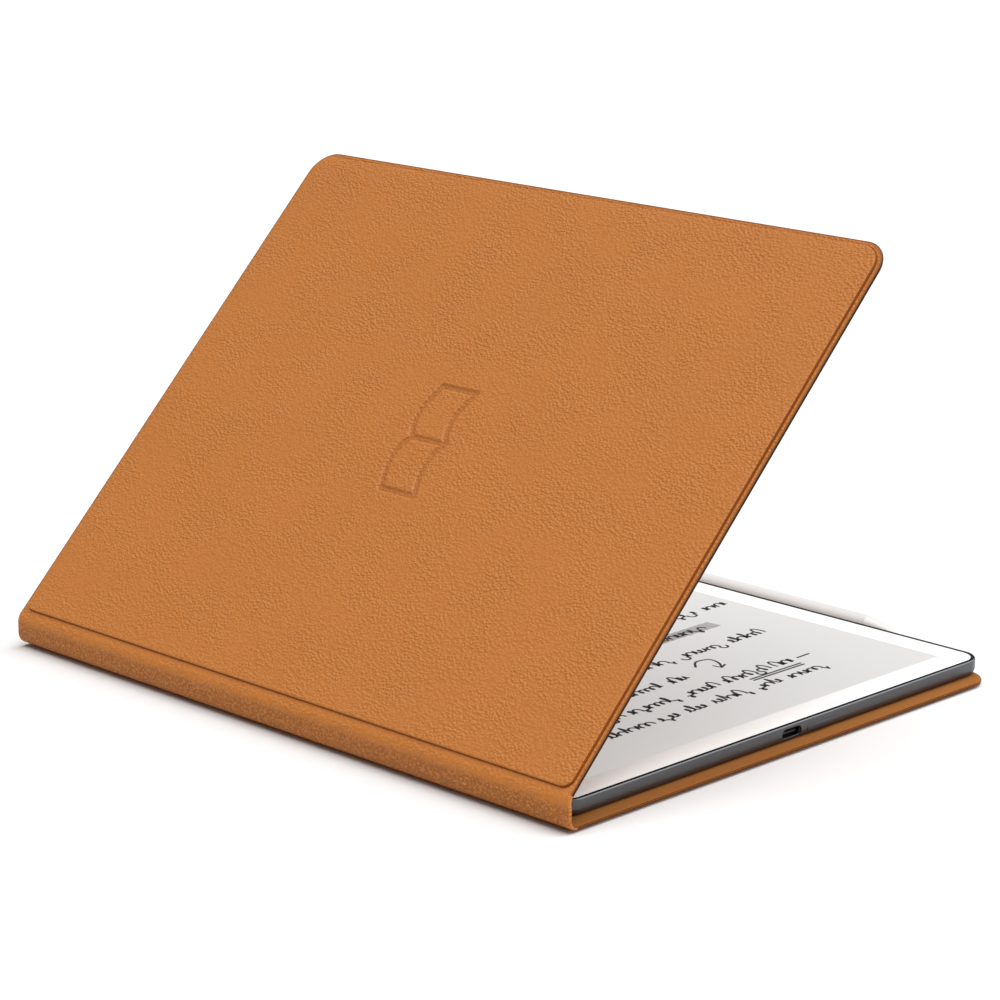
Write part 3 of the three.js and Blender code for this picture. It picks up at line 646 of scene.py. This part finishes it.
def open_edge(path, reach, inset):
    """The leather's three free sides as a line, from the middle of the spine round to it again."""
    half = COVER_HALF - inset
    corner = OUTER_CORNER - inset
    high = reach - inset
    corners = outline(high, half, 0.1 * MM, corner, 14, low_x=-1)
    far = [p for p in corners if p[0] > high - corner - 1e-9]
    turn = next(i for i, p in enumerate(far) if p[1] < 0)
    bends = far[turn:] + far[:turn]
    rows = [u for u in fold_rows(path) if u < high - corner - MM]
    near = [(u, -half) for u in rows]
    legs = spread_along((rows[-1], -half), bends[0], 4 * MM)[1:]
    edge = spread_along(bends[len(bends) // 2 - 1], bends[len(bends) // 2], 4 * MM)[1:]
    side = near + legs + bends[: len(bends) // 2]
    return side + edge + [(u, -y) for u, y in reversed(side)]


def fold_rows(path):
    """Positions of the rows of points across the spine and the bend."""
    end = path.bend_end + FOLD_MARGIN
    count = math.ceil(end / (0.4 * MM))
    return [end * i / count for i in range(count + 1)]


def sheet_mesh(path, reach, edge_insets, panel=None, spacing=2 * MM, motif=None):
    """A flat triangle mesh of one half of the folio, in (u, y), with lines along every change of height."""
    points, lines = [], []

    def add_line(line, closed=False):
        start = len(points)
        points.extend(line)
        lines.extend((start + i, start + i + 1) for i in range(len(line) - 1))
        if closed:
            lines.append((start + len(line) - 1, start))

    for inset in edge_insets:
        add_line(open_edge(path, reach, inset))
    add_line([(0, -COVER_HALF + edge_insets[0]), (0, COVER_HALF - edge_insets[0])])
    inner = COVER_HALF - edge_insets[-1] - 0.8 * MM
    columns = 2 * math.ceil(inner / spacing)
    for u in fold_rows(path):
        add_line([(u, -inner + 2 * inner * i / columns) for i in range(columns + 1)])
    if panel:
        low, high, half = panel
        for distance, _ in PANEL_STEP:
            corner = PANEL_CORNER - distance
            far_corner = OUTER_CORNER - PANEL_INSET - distance
            loop = outline(high - distance, half - distance, corner, far_corner, 10, low_x=low + distance)
            dense = []
            for first, second in zip(loop, loop[1:] + loop[:1]):
                dense += spread_along(first, second, 4 * MM)
            add_line(dense, closed=True)
        steps = 24
        for i in range(1, steps):
            u = low + (high - low) * i / steps
            row = ((u, (half - 4 * MM) * (2 * j / steps - 1)) for j in range(steps + 1))
            points.extend(point for point in row if not (motif and motif.near(*point)))
    if motif:
        fine = 0.25 * MM
        u0, _ = motif.lines[-1][0]
        across = math.ceil((motif.HALF_WIDTH + 2.4 * MM) / fine)
        along = math.ceil((motif.HALF_HEIGHT + 5 * MM) / fine)
        for i in range(-across, across + 1):
            for j in range(-along, along + 1):
                point = (u0 + i * fine, j * fine)
                if motif.distance(*point) < motif.HALF_STROKE + 3 * fine:
                    points.append(point)
    vertices, _, faces, *_ = delaunay_2d_cdt([Vector(p) for p in points], lines, [], 0, 1e-6)
    keep = []
    for face in faces:
        middle = sum((vertices[i] for i in face), Vector((0, 0))) / len(face)
        inside = rounded_distance(
            middle.x, middle.y, -1, reach - edge_insets[0], COVER_HALF - edge_insets[0], MM,
            OUTER_CORNER - edge_insets[0],
        )
        if inside > 0 and middle.x > 0:
            keep.append(tuple(face))
    return vertices, keep


def folio_piece(name, path, reach, materials, outer, inner, edge_insets, finish, wall, **shape):
    """A closed body between two heights over the flat mesh, lifted on to the folded path.

    finish and wall give the number of the material of a face at (u, y), on top and round the rim.
    """
    flat, faces = sheet_mesh(path, reach, edge_insets, **shape)
    used = sorted({i for face in faces for i in face})
    index = {old: new for new, old in enumerate(used)}
    flat = [flat[i] for i in used]
    faces = [tuple(index[i] for i in face) for face in faces]
    count = len(flat)
    mesh = bpy.data.meshes.new(name)
    top = [path.place(u, y, outer(u, y)) for u, y in flat]
    bottom = [path.place(u, y, inner(u, y)) for u, y in flat]
    edges = {(a, b) for face in faces for a, b in zip(face, face[1:] + face[:1])}
    rim = sorted((a, b) for a, b in edges if (b, a) not in edges)
    walls = [(b, a, a + count, b + count) for a, b in rim]
    under = [tuple(i + count for i in reversed(face)) for face in faces]
    mesh.from_pydata([tuple(p) for p in top + bottom], [], faces + under + walls)

    def middle(indices):
        return sum((flat[i] for i in indices), Vector((0, 0))) / len(indices)

    numbers = [finish(*middle(face)) for face in faces]
    numbers += [0] * len(under)
    numbers += [wall(*middle(edge)) for edge in rim]
    flat_map = mesh.uv_layers.new(name="flat")
    both = flat + flat
    for loop in mesh.loops:
        u, y = both[loop.vertex_index]
        flat_map.data[loop.index].uv = (path.sign * u, y)
    build = bmesh.new()
    build.from_mesh(mesh)
    bmesh.ops.recalc_face_normals(build, faces=build.faces)
    build.to_mesh(mesh)
    build.free()
    piece = bpy.data.objects.new(name, mesh)
    scene.collection.objects.link(piece)
    smooth(piece, 40)
    dress(piece, *materials)
    mesh.polygons.foreach_set("material_index", numbers)
    return piece


def on_spine(path, u):
    """1 on the spine and 0 on the cover leaf, changing over the bend."""
    return 1 - piecewise(u, [(path.straight, 0), (path.bend_end, 1)])


def make_leather(name, path, leaf_start_u, reach, motif=None):
    panel = (leaf_start_u + PANEL_START, reach - PANEL_INSET, COVER_HALF - PANEL_INSET)

    def relief(u, y):
        """The spine's leather is looser, so its grain stands higher."""
        share = on_spine(path, u)
        if share <= 0:
            return 0.0
        fine = noise.noise(Vector((u, y, 0)) / FINE_GRAIN)
        coarse = noise.noise(Vector((u, y, 5)) / COARSE_GRAIN)
        return share * GRAIN_RELIEF * (fine + COARSE_SHARE * coarse)

    def panel_inside(u, y):
        low, high, half = panel
        return rounded_distance(u, y, low, high, half, PANEL_CORNER, OUTER_CORNER - PANEL_INSET)

    def outer(u, y):
        edge = rounded_distance(u, y, -1, reach, COVER_HALF, MM, OUTER_CORNER)
        height = piecewise(edge, EDGE_ROLL)
        height += piecewise(panel_inside(u, y), PANEL_STEP)
        if edge > 0.5 * MM:
            height += relief(u, y)
        return height + (motif.height(u, y) if motif else 0.0)

    def inner(u, y):
        pocket = piecewise(panel_inside(u, y), [(LEATHER, 0), (LEATHER + 0.2 * MM, PANEL_RISE)])
        edge = rounded_distance(u, y, -1, reach, COVER_HALF, MM, OUTER_CORNER)
        behind_spine = piecewise(edge, [(0.4 * MM, 1), (0.7 * MM, 0)])
        return -LEATHER + pocket - spine_thickening(path, u) * behind_spine

    def finish(u, y):
        """The plain leather; the pressed lines, darker partly as pressed leather and partly as painted
        shade; painted shade in the groove at the panel's step; and the rim, dark brown at its very
        edge with a darker brown band inside.
        """
        edge = rounded_distance(u, y, -1, reach, COVER_HALF, MM, OUTER_CORNER)
        if edge < DARKER_RIM_ROLL:
            return 0 if u < path.bend_end else 2 if edge < DARK_ROLL else 4
        # Painted shade: a dark band in the groove at the panel's step.
        low, high = FOLD_CREASE_SHADE_BAND if u < panel[0] + MM and abs(y) < panel[2] - PANEL_CORNER else CREASE_SHADE_BAND
        if low < panel_inside(u, y) < high:
            return 3
        return 1 if motif and motif.pressed(u, y) else 0

    def wall(u, y):
        return 2 if u > path.bend_end else 0

    insets = [distance for distance, _ in EDGE_ROLL]
    edge_finish = "leather_edge" if path is upper else "brown_edge"
    materials = ("tan_leather", "pressed_shaded_leather", edge_finish, "crease_shade", "darker_rim_band")
    return folio_piece(
        name, path, reach, materials, outer, inner, insets, finish, wall, panel=panel, motif=motif
    )


def spine_thickening(path, u):
    """How much deeper the lining lies behind the spine, where the stiffener is."""
    return on_spine(path, u) * (SPINE_THICKNESS - LEATHER - LINING)


def make_lining(name, path, reach):
    def outer(u, y):
        return -LEATHER - LAYER_GAP - spine_thickening(path, u)

    def inner(u, y):
        edge = rounded_distance(u, y, -1, reach, COVER_HALF, MM, OUTER_CORNER) - LINING_INSET
        roll = piecewise(edge, scaled([(0, 0.16), (0.1, 0.05), (0.25, 0)]))
        return -LEATHER - LINING + CONTACT_GAP - spine_thickening(path, u) + roll

    insets = [LINING_INSET, LINING_INSET + 0.1 * MM, LINING_INSET + 0.25 * MM]
    finishes = {"finish": lambda u, y: 0, "wall": lambda u, y: 1}
    materials = ("brown_lining", "brown_edge")
    return folio_piece(name, path, reach, materials, outer, inner, insets, spacing=8 * MM, **finishes)


motif = Motif(UPPER_LEAF + 97 * MM, 0.9 * MM)
leather_back = make_leather("leather_back", lower, LOWER_LEAF, LOWER_REACH)
leather_front = make_leather("leather_front", upper, UPPER_LEAF, UPPER_REACH, motif)
lining_back = make_lining("lining_back", lower, LOWER_REACH)
lining_front = make_lining("lining_front", upper, UPPER_REACH)

# The bends: points at these two distances along each bend's diagonal, and each piece's placing baked into its
# mesh.
lower_diagonal = Vector((-1, 0, 1)).normalized()
upper_diagonal = (Vector((0, 0, 1)) + cover_direction).normalized()
LOWER_BLEND = (-2.6 * MM, 4.0 * MM)
UPPER_BLEND = (-4.0 * MM, 1.8 * MM)
for piece in (leather_back, lining_back):
    start, end = (BOTTOM_FOLD + lower_diagonal * distance for distance in LOWER_BLEND)
    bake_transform(piece)
    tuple(start)
    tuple(end)
for piece in (leather_front, lining_front):
    start, end = (TOP_FOLD + upper_diagonal * distance for distance in UPPER_BLEND)
    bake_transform(piece)
    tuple(start)
    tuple(end)
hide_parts("back_cover_leather", "spine_leather")
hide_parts("front_cover_leather")
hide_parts("back_cover_lining", "spine_lining")
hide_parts("front_cover_lining")


def make_spine_board():
    """The board between the spine's leather and lining, which keeps the spine straight."""
    depth = SPINE_OUTSIDE + LEATHER + LAYER_GAP
    thickness = SPINE_THICKNESS - LEATHER - LINING - 2 * LAYER_GAP
    half_height = min(lower.straight, upper.straight) - 0.2 * MM
    middle = (BOTTOM_FOLD.z + TOP_FOLD.z) / 2
    section = outline(COVER_HALF - 0.9 * MM, half_height, 0.5 * MM, 0.5 * MM, 4)
    rings = [[(x, a, middle + b) for a, b in section] for x in (depth, depth + thickness)]
    vertices, faces = loft(rings)
    board = make_piece("spine_board", vertices, faces, "cover_board")
    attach(board, "spine")
    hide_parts("spine_stiffener")


make_spine_board()


# -------------------- reader


def reader_ring(inset, z, steps=16):
    corners = (max(radius - inset, MM) for radius in (SPINE_SIDE_CORNER, READER_CORNER))
    low_x = case_low.x - READER_CENTRE.x + inset
    points = outline(READER_HALF[0] - inset, READER_HALF[1] - inset, *corners, steps, low_x=low_x)
    return [(READER_CENTRE.x + x, y, z) for x, y in points]


CASE_FLOOR = 0.7 * MM
CASE_WALL = 2.2 * MM
RIM_CHAMFER = 0.3 * MM
RIM_WIDTH = 1.15 * MM
GLASS_GAP = 0.05 * MM
SIDE_CURVE_WIDTH = 1.5 * MM
SIDE_CURVE_HEIGHT = 2.2 * MM
GLASS_SEAT = glass_low.z - 0.2 * MM
RIM_INSET = RIM_CHAMFER + RIM_WIDTH
# A round end's radius over half its height: just under 1, so that no two corners meet.
ROUND_END = 0.999


def capsule_section(centre, half_length, half_height, y, steps=12):
    """A round-ended bar's outline in the XZ plane at one y."""
    radius = half_height * ROUND_END
    points = outline(half_length, half_height, radius, radius, steps)
    return [(centre.x + x, y, centre.z + z) for x, z in points]


def slot_cutter(node_name, margin, deep):
    """A round-ended bar a little larger than a CAD node, along Y, to cut its slot in the case."""
    low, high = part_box(node_name)
    half_height = (high.z - low.z) / 2 + margin
    half_length = (high.x - low.x) / 2 + margin
    centre = (low + high) / 2
    ends = (case_low.y - 2 * MM, case_low.y + deep)
    return loft([capsule_section(centre, half_length, half_height, y) for y in ends])


def round_post(x, y, radius, z0, z1, facets=48):
    rings = []
    for z in (z0, z1):
        turn = [2 * math.pi * i / facets for i in range(facets)]
        rings.append([(x + radius * math.cos(a), y + radius * math.sin(a), z) for a in turn])
    return loft(rings)


def cut_with(piece, cutter_shapes):
    """Cuts each closed shape out of the piece and keeps the result as its mesh."""
    cutters = []
    for number, (vertices, faces) in enumerate(cutter_shapes):
        cutter = make_piece(f"cutter_{number}", vertices, faces, "graphite_case")
        modifier = piece.modifiers.new(f"cut_{number}", "BOOLEAN")
        modifier.operation = "DIFFERENCE"
        modifier.solver = "EXACT"
        modifier.object = cutter
        cutters.append(cutter)
    evaluated = piece.evaluated_get(bpy.context.evaluated_depsgraph_get())
    result = bpy.data.meshes.new_from_object(evaluated)
    piece.modifiers.clear()
    piece.data = result
    for cutter in cutters:
        bpy.data.objects.remove(cutter)


def make_case():
    base = case_low.z
    curve_steps = 10
    rings = [reader_ring(SIDE_CURVE_WIDTH + 4 * MM, base)]
    for i in range(curve_steps + 1):
        angle = i / curve_steps * math.pi / 2
        inset = SIDE_CURVE_WIDTH * (1 - math.sin(angle))
        rings.append(reader_ring(inset, base + SIDE_CURVE_HEIGHT * (1 - math.cos(angle))))
    rings += [
        reader_ring(0, case_high.z - RIM_CHAMFER),
        reader_ring(0.06 * MM, case_high.z - RIM_CHAMFER + 0.02 * MM),
        reader_ring(RIM_CHAMFER - 0.05 * MM, case_high.z - 0.03 * MM),
        reader_ring(RIM_CHAMFER + 0.05 * MM, case_high.z),
        reader_ring(RIM_INSET, case_high.z),
        reader_ring(RIM_INSET, GLASS_SEAT),
        reader_ring(CASE_WALL, GLASS_SEAT),
        reader_ring(CASE_WALL, base + CASE_FLOOR),
    ]
    vertices, faces = loft(rings)
    case = make_piece("case_shell", vertices, faces, "graphite_case", sharp_angle=25)
    cutters = [
        slot_cutter("usb_c_shell", 0.12 * MM, 3.0 * MM),
        slot_cutter("power_button", 0.04 * MM, 3.0 * MM),
    ]
    for number in range(1, 5):
        low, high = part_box(f"rubber_foot_{number}")
        centre = (low + high) / 2
        radius = (high.x - low.x) / 2 + 0.3 * MM
        cutters.append(round_post(centre.x, centre.y, radius, base - MM, high.z + LAYER_GAP))
    cut_with(case, cutters)
    smooth(case, 25)
    dress(case, "graphite_case", "gap_shade_black", "bevel_highlight_metal")
    # The flat rim beside the glass is black, painted shade of the gap beside the glass, and the bevel
    # outside it is lighter metal, a painted highlight.
    for face in case.data.polygons:
        level = abs(face.center.z - case_high.z) < 0.01 * MM
        sloping = case_high.z - RIM_CHAMFER < face.center.z < case_high.z and 0.3 < face.normal.z < 0.95
        face.material_index = 1 if level and abs(face.normal.z) > 0.9 else 2 if sloping else 0
    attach(case, "reader")
    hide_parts("rear_case")


make_case()


PANE_DROP = 0.05 * MM


def make_front_panes():
    """White border glass and the matt window over the display, flush with each other."""
    inset = RIM_INSET + GLASS_GAP
    top, low = glass_high.z, glass_low.z
    roll = 0.12 * MM
    steps = 16
    window = outline(DISPLAY_HALF[0], DISPLAY_HALF[1], 0.4 * MM, 0.4 * MM, steps)
    window = [(READER_CENTRE.x + x, y) for x, y in window]
    rings = [
        [(x, y, low) for x, y in window],
        reader_ring(inset, low, steps),
        reader_ring(inset, top - roll, steps),
        reader_ring(inset + 0.3 * roll, top - 0.3 * roll, steps),
        reader_ring(inset + roll, top, steps),
        [(x, y, top) for x, y in window],
    ]
    vertices, faces = loft(rings, closed=True)
    border = make_piece("border_glass", vertices, faces, "white_mask")
    shrink = 0.03 * MM
    pane_outline = outline(DISPLAY_HALF[0] - shrink, DISPLAY_HALF[1] - shrink, 0.4 * MM, 0.4 * MM, 6)
    rings = [
        [(READER_CENTRE.x + x, y, z) for x, y in pane_outline]
        for z in (low + 0.02 * MM, top - PANE_DROP)
    ]
    vertices, faces = loft(rings)
    pane = make_piece("display_pane", vertices, faces, "epaper")
    for piece in (border, pane):
        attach(piece, "reader")
    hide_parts("front_glass", "white_mask")


make_front_panes()


def make_port():
    """The port's drawn steel shell: a round-ended tube with a rolled mouth and a closed back."""
    low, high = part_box("usb_c_shell")
    centre = (low + high) / 2
    half_length, half_height = (high.x - low.x) / 2, (high.z - low.z) / 2
    wall, roll, back_wall = 0.18 * MM, 0.05 * MM, 0.6 * MM
    steps = [
        (0, high.y),
        (0, low.y + roll),
        (roll, low.y),
        (wall - roll, low.y),
        (wall, low.y + roll),
        (wall, high.y - back_wall),
    ]
    rings = [capsule_section(centre, half_length - inset, half_height - inset, y) for inset, y in steps]
    vertices, faces = loft(rings)
    shell = make_piece("port_shell", vertices, faces, "plated_steel")
    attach(shell, "reader")
    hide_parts("usb_c_shell")


def make_power_key():
    low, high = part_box("power_button")
    centre = (low + high) / 2
    half_length, half_height = (high.x - low.x) / 2, (high.z - low.z) / 2
    roll = 0.12 * MM
    steps = [(0, high.y), (0, low.y + roll), (0.3 * roll, low.y + 0.3 * roll), (roll, low.y)]
    rings = [capsule_section(centre, half_length - inset, half_height - inset, y) for inset, y in steps]
    vertices, faces = loft(rings)
    key = make_piece("power_key", vertices, faces, "button_metal")
    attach(key, "power_button")
    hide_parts("power_button")


make_port()
make_power_key()


# -------------------- what the display shows


def ribbon(points, width, low, high):
    """A thin flat closed strip along a line in the page, with square ends."""
    sides = []
    for i, (x, y) in enumerate(points):
        before, after = points[max(i - 1, 0)], points[min(i + 1, len(points) - 1)]
        along = Vector((after[0] - before[0], after[1] - before[1])).normalized()
        across = Vector((-along.y, along.x)) * width / 2
        sides.append(((x + across.x, y + across.y), (x - across.x, y - across.y)))
    rings = [
        [(*left, low), (*left, high), (*right, high), (*right, low)]
        for left, right in sides
    ]
    return loft(rings)


def squiggle(x, y, length, height):
    """A meaningless curled stroke the length of a word. It forms no letters."""
    loops = max(2, round(length / LOOP_PITCH))
    pitch = length / loops
    steps = 14
    points = []
    for loop in range(loops):
        curl = RANDOM.choice((0.42, 0.36, -0.4, 0.1, -0.34))
        reach = RANDOM.uniform(0.8, 1.05)
        if RANDOM.random() < 0.22:
            reach = RANDOM.choice((1.7, 1.8, -0.7))
        for step in range(steps):
            t = step / steps
            across = x + (loop + t + curl * math.sin(2 * math.pi * t)) * pitch
            points.append((across, y + reach * height * (0.5 - 0.5 * math.cos(2 * math.pi * t))))
    return points


PAGE_LEFT = -70 * MM
LOOP_PITCH = 2.4 * MM
WAVE_HEIGHT = 3.0 * MM
STROKE = 0.84 * MM
# Height and right-hand end of each line in the page, from the lowest one up.
PAGE_LINES = scaled([
    (-93, 53), (-82, 48), (-70, 11.5), (-54.7, 65), (-38, 60), (-24, 81), (-4, 44),
    (10, 38), (24, 16), (44, 47), (58, 31), (72, 42), (86, 12),
])
HIGHLIGHT = (Vector((24, -36.6)) * MM, Vector((60, -36.2)) * MM)
HIGHLIGHT_WIDTH = 6 * MM
UNDERLINE = (Vector((22.4, -84.6)) * MM, Vector((47.4, -84.8)) * MM)
UNDERLINE_GAP = 1.5 * MM
DASH = (Vector((50.5, -80.4)) * MM, Vector((57, -80.2)) * MM)
ARROW = [Vector(p) * MM for p in ((19.5, -64), (24, -60.2), (29, -61.5), (28.5, -66), (25.5, -70))]
ARROW_HEAD = (Vector((-0.6, 3.4)) * MM, Vector((3.4, 1.6)) * MM)


def curve_through(points, steps=6):
    """A smooth line through the points (Catmull-Rom)."""
    ends = [points[0] * 2 - points[1], *points, points[-1] * 2 - points[-2]]
    line = []
    for a, b, c, d in zip(ends, ends[1:], ends[2:], ends[3:]):
        for step in range(steps):
            t = step / steps
            squared = (a * 2 - b * 5 + c * 4 - d) * t * t
            cubed = (b * 3 - a - c * 3 + d) * t ** 3
            line.append((b * 2 + (c - a) * t + squared + cubed) / 2)
    return line + [points[-1]]


def make_page():
    """Strokes of ink and a highlighted band, as thin raised strips on the display's window."""
    pane_top = glass_high.z - PANE_DROP
    ink_low, ink_high = pane_top + 0.01 * MM, pane_top + 0.035 * MM
    strokes = []
    for y, end in PAGE_LINES:
        x = PAGE_LEFT
        while x < end - 4 * MM:
            length = min(RANDOM.uniform(8, 24) * MM, end - x)
            strokes.append(squiggle(x, y, length, WAVE_HEIGHT))
            x += length + RANDOM.uniform(3, 4) * MM
    lower_line = Vector((0, -UNDERLINE_GAP))
    strokes += [UNDERLINE, [point + lower_line for point in UNDERLINE], DASH, curve_through(ARROW)]
    strokes.append([ARROW[-1] + ARROW_HEAD[0], ARROW[-1], ARROW[-1] + ARROW_HEAD[1]])

    vertices, faces = [], []
    for stroke in strokes:
        placed = [(READER_CENTRE.x + x, y) for x, y in stroke]
        new_vertices, new_faces = ribbon(placed, STROKE, ink_low, ink_high)
        faces += [tuple(i + len(vertices) for i in face) for face in new_faces]
        vertices += new_vertices
    ink = make_piece("page_strokes", vertices, faces, "nib_plastic", materials=["ink"])

    steps = 24
    band = []
    for i in range(steps + 1):
        x, y = HIGHLIGHT[0].lerp(HIGHLIGHT[1], i / steps)
        band.append((READER_CENTRE.x + x, y + RANDOM.uniform(-0.2, 0.2) * MM))
    vertices, faces = ribbon(band, HIGHLIGHT_WIDTH, pane_top + 0.002 * MM, pane_top + 0.008 * MM)
    marker = make_piece("page_highlight", vertices, faces, "epaper", materials=["marker"])
    for piece in (ink, marker):
        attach(piece, "reader")


make_page()


# -------------------- pen

PEN_FACETS = 64
barrel_low, barrel_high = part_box("pen_barrel")
PEN_AXIS = (barrel_low + barrel_high) / 2
PEN_RADIUS = (barrel_high.x - barrel_low.x) / 2
PEN_BORE = 3.4 * MM
PEN_EDGE = 0.12 * MM


def turned(name, profile, slot, body, *nodes, closed=False):
    """A body turned about the pen's axis from (radius, y) pairs."""
    rings = []
    for radius, y in profile:
        turn = (2 * math.pi * i / PEN_FACETS for i in range(PEN_FACETS))
        rings.append([
            (PEN_AXIS.x + radius * math.cos(a), y, PEN_AXIS.z + radius * math.sin(a)) for a in turn
        ])
    vertices, faces = loft(rings, closed=closed)
    piece = make_piece(name, vertices, faces, slot)
    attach(piece, body)
    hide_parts(*nodes)
    return piece


def make_pen():
    front, back = barrel_low.y, barrel_high.y
    tube = turned(
        "pen_tube",
        [
            (PEN_BORE, front),
            (PEN_RADIUS - PEN_EDGE, front),
            (PEN_RADIUS, front + PEN_EDGE),
            (PEN_RADIUS, back - PEN_EDGE),
            (PEN_RADIUS - PEN_EDGE, back),
            (PEN_BORE, back),
        ],
        "pen_white",
        "pen",
        "pen_barrel",
        closed=True,
    )
    key_low, key_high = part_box("pen_side_button")
    centre = (key_low + key_high) / 2
    half_length, half_height = (key_high.y - key_low.y) / 2, (key_high.z - key_low.z) / 2

    def key_ring(inset, x):
        radius = (half_height - inset) * ROUND_END
        points = outline(half_length - inset, half_height - inset, radius, radius)
        return [(x, centre.y + a, centre.z + b) for a, b in points]

    gap = 0.1 * MM
    cut_with(tube, [loft([key_ring(-gap, key_low.x - MM), key_ring(-gap, key_high.x + 0.5 * MM)])])
    smooth(tube)
    dress(tube, "pen_white")
    roll = 0.2 * MM
    vertices, faces = loft([
        key_ring(0, key_high.x),
        key_ring(0, key_low.x + roll),
        key_ring(0.3 * roll, key_low.x + 0.3 * roll),
        key_ring(roll, key_low.x),
    ])
    key = make_piece("pen_key", vertices, faces, "pen_white")
    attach(key, "pen_side_button")
    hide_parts("pen_side_button")

    nose_low, nose_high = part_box("pen_nose")
    nib_low, nib_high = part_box("pen_nib")
    bore = (nib_high.x - nib_low.x) / 2 + 0.15 * MM
    shoulder = front - 0.08 * MM
    tip_radius, spigot = 1.0 * MM, PEN_BORE - 0.15 * MM
    cone_steps = 14
    cone = []
    for i in range(cone_steps + 1):
        t = i / cone_steps
        radius = tip_radius + (PEN_RADIUS - tip_radius) * (0.72 * t + 0.28 * math.sin(t * math.pi / 2))
        cone.append((radius, nose_low.y + 0.1 * MM + (shoulder - nose_low.y - 0.1 * MM) * t))
    turned(
        "pen_cone",
        [(bore, nose_low.y), (tip_radius - 0.1 * MM, nose_low.y), *cone]
        + [(spigot, shoulder + 0.02 * MM), (spigot, nose_high.y), (bore, nose_high.y)],
        "pen_white",
        "pen",
        "pen_nose",
        closed=True,
    )
    nib_radius = (nib_high.x - nib_low.x) / 2
    nib_steps = 5
    nib_tip = [
        (nib_radius * math.sin(a), nib_low.y + nib_radius * (1 - math.cos(a)))
        for a in (max(0.05, i / nib_steps * math.pi / 2) for i in range(nib_steps + 1))
    ]
    turned("pen_point", nib_tip + [(nib_radius, nib_high.y)], "nib_plastic", "pen_nib", "pen_nib")

    cap_low, cap_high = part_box("pen_eraser_cap")
    cap_start = back + joint_named("pen_eraser_press")["range_m"][1] + LAYER_GAP
    dome_start = cap_high.y - PEN_RADIUS
    dome_steps = 14
    dome = [
        (max(PEN_RADIUS * math.cos(a), 0.02 * MM), dome_start + PEN_RADIUS * math.sin(a))
        for a in (i / dome_steps * math.pi / 2 for i in range(dome_steps + 1))
    ]
    turned(
        "pen_cap",
        [(spigot, cap_low.y), (spigot, cap_start), (PEN_RADIUS - PEN_EDGE, cap_start)]
        + [(PEN_RADIUS, cap_start + PEN_EDGE), *dome],
        "pen_white",
        "pen_eraser_cap",
        "pen_eraser_cap",
    )


make_pen()
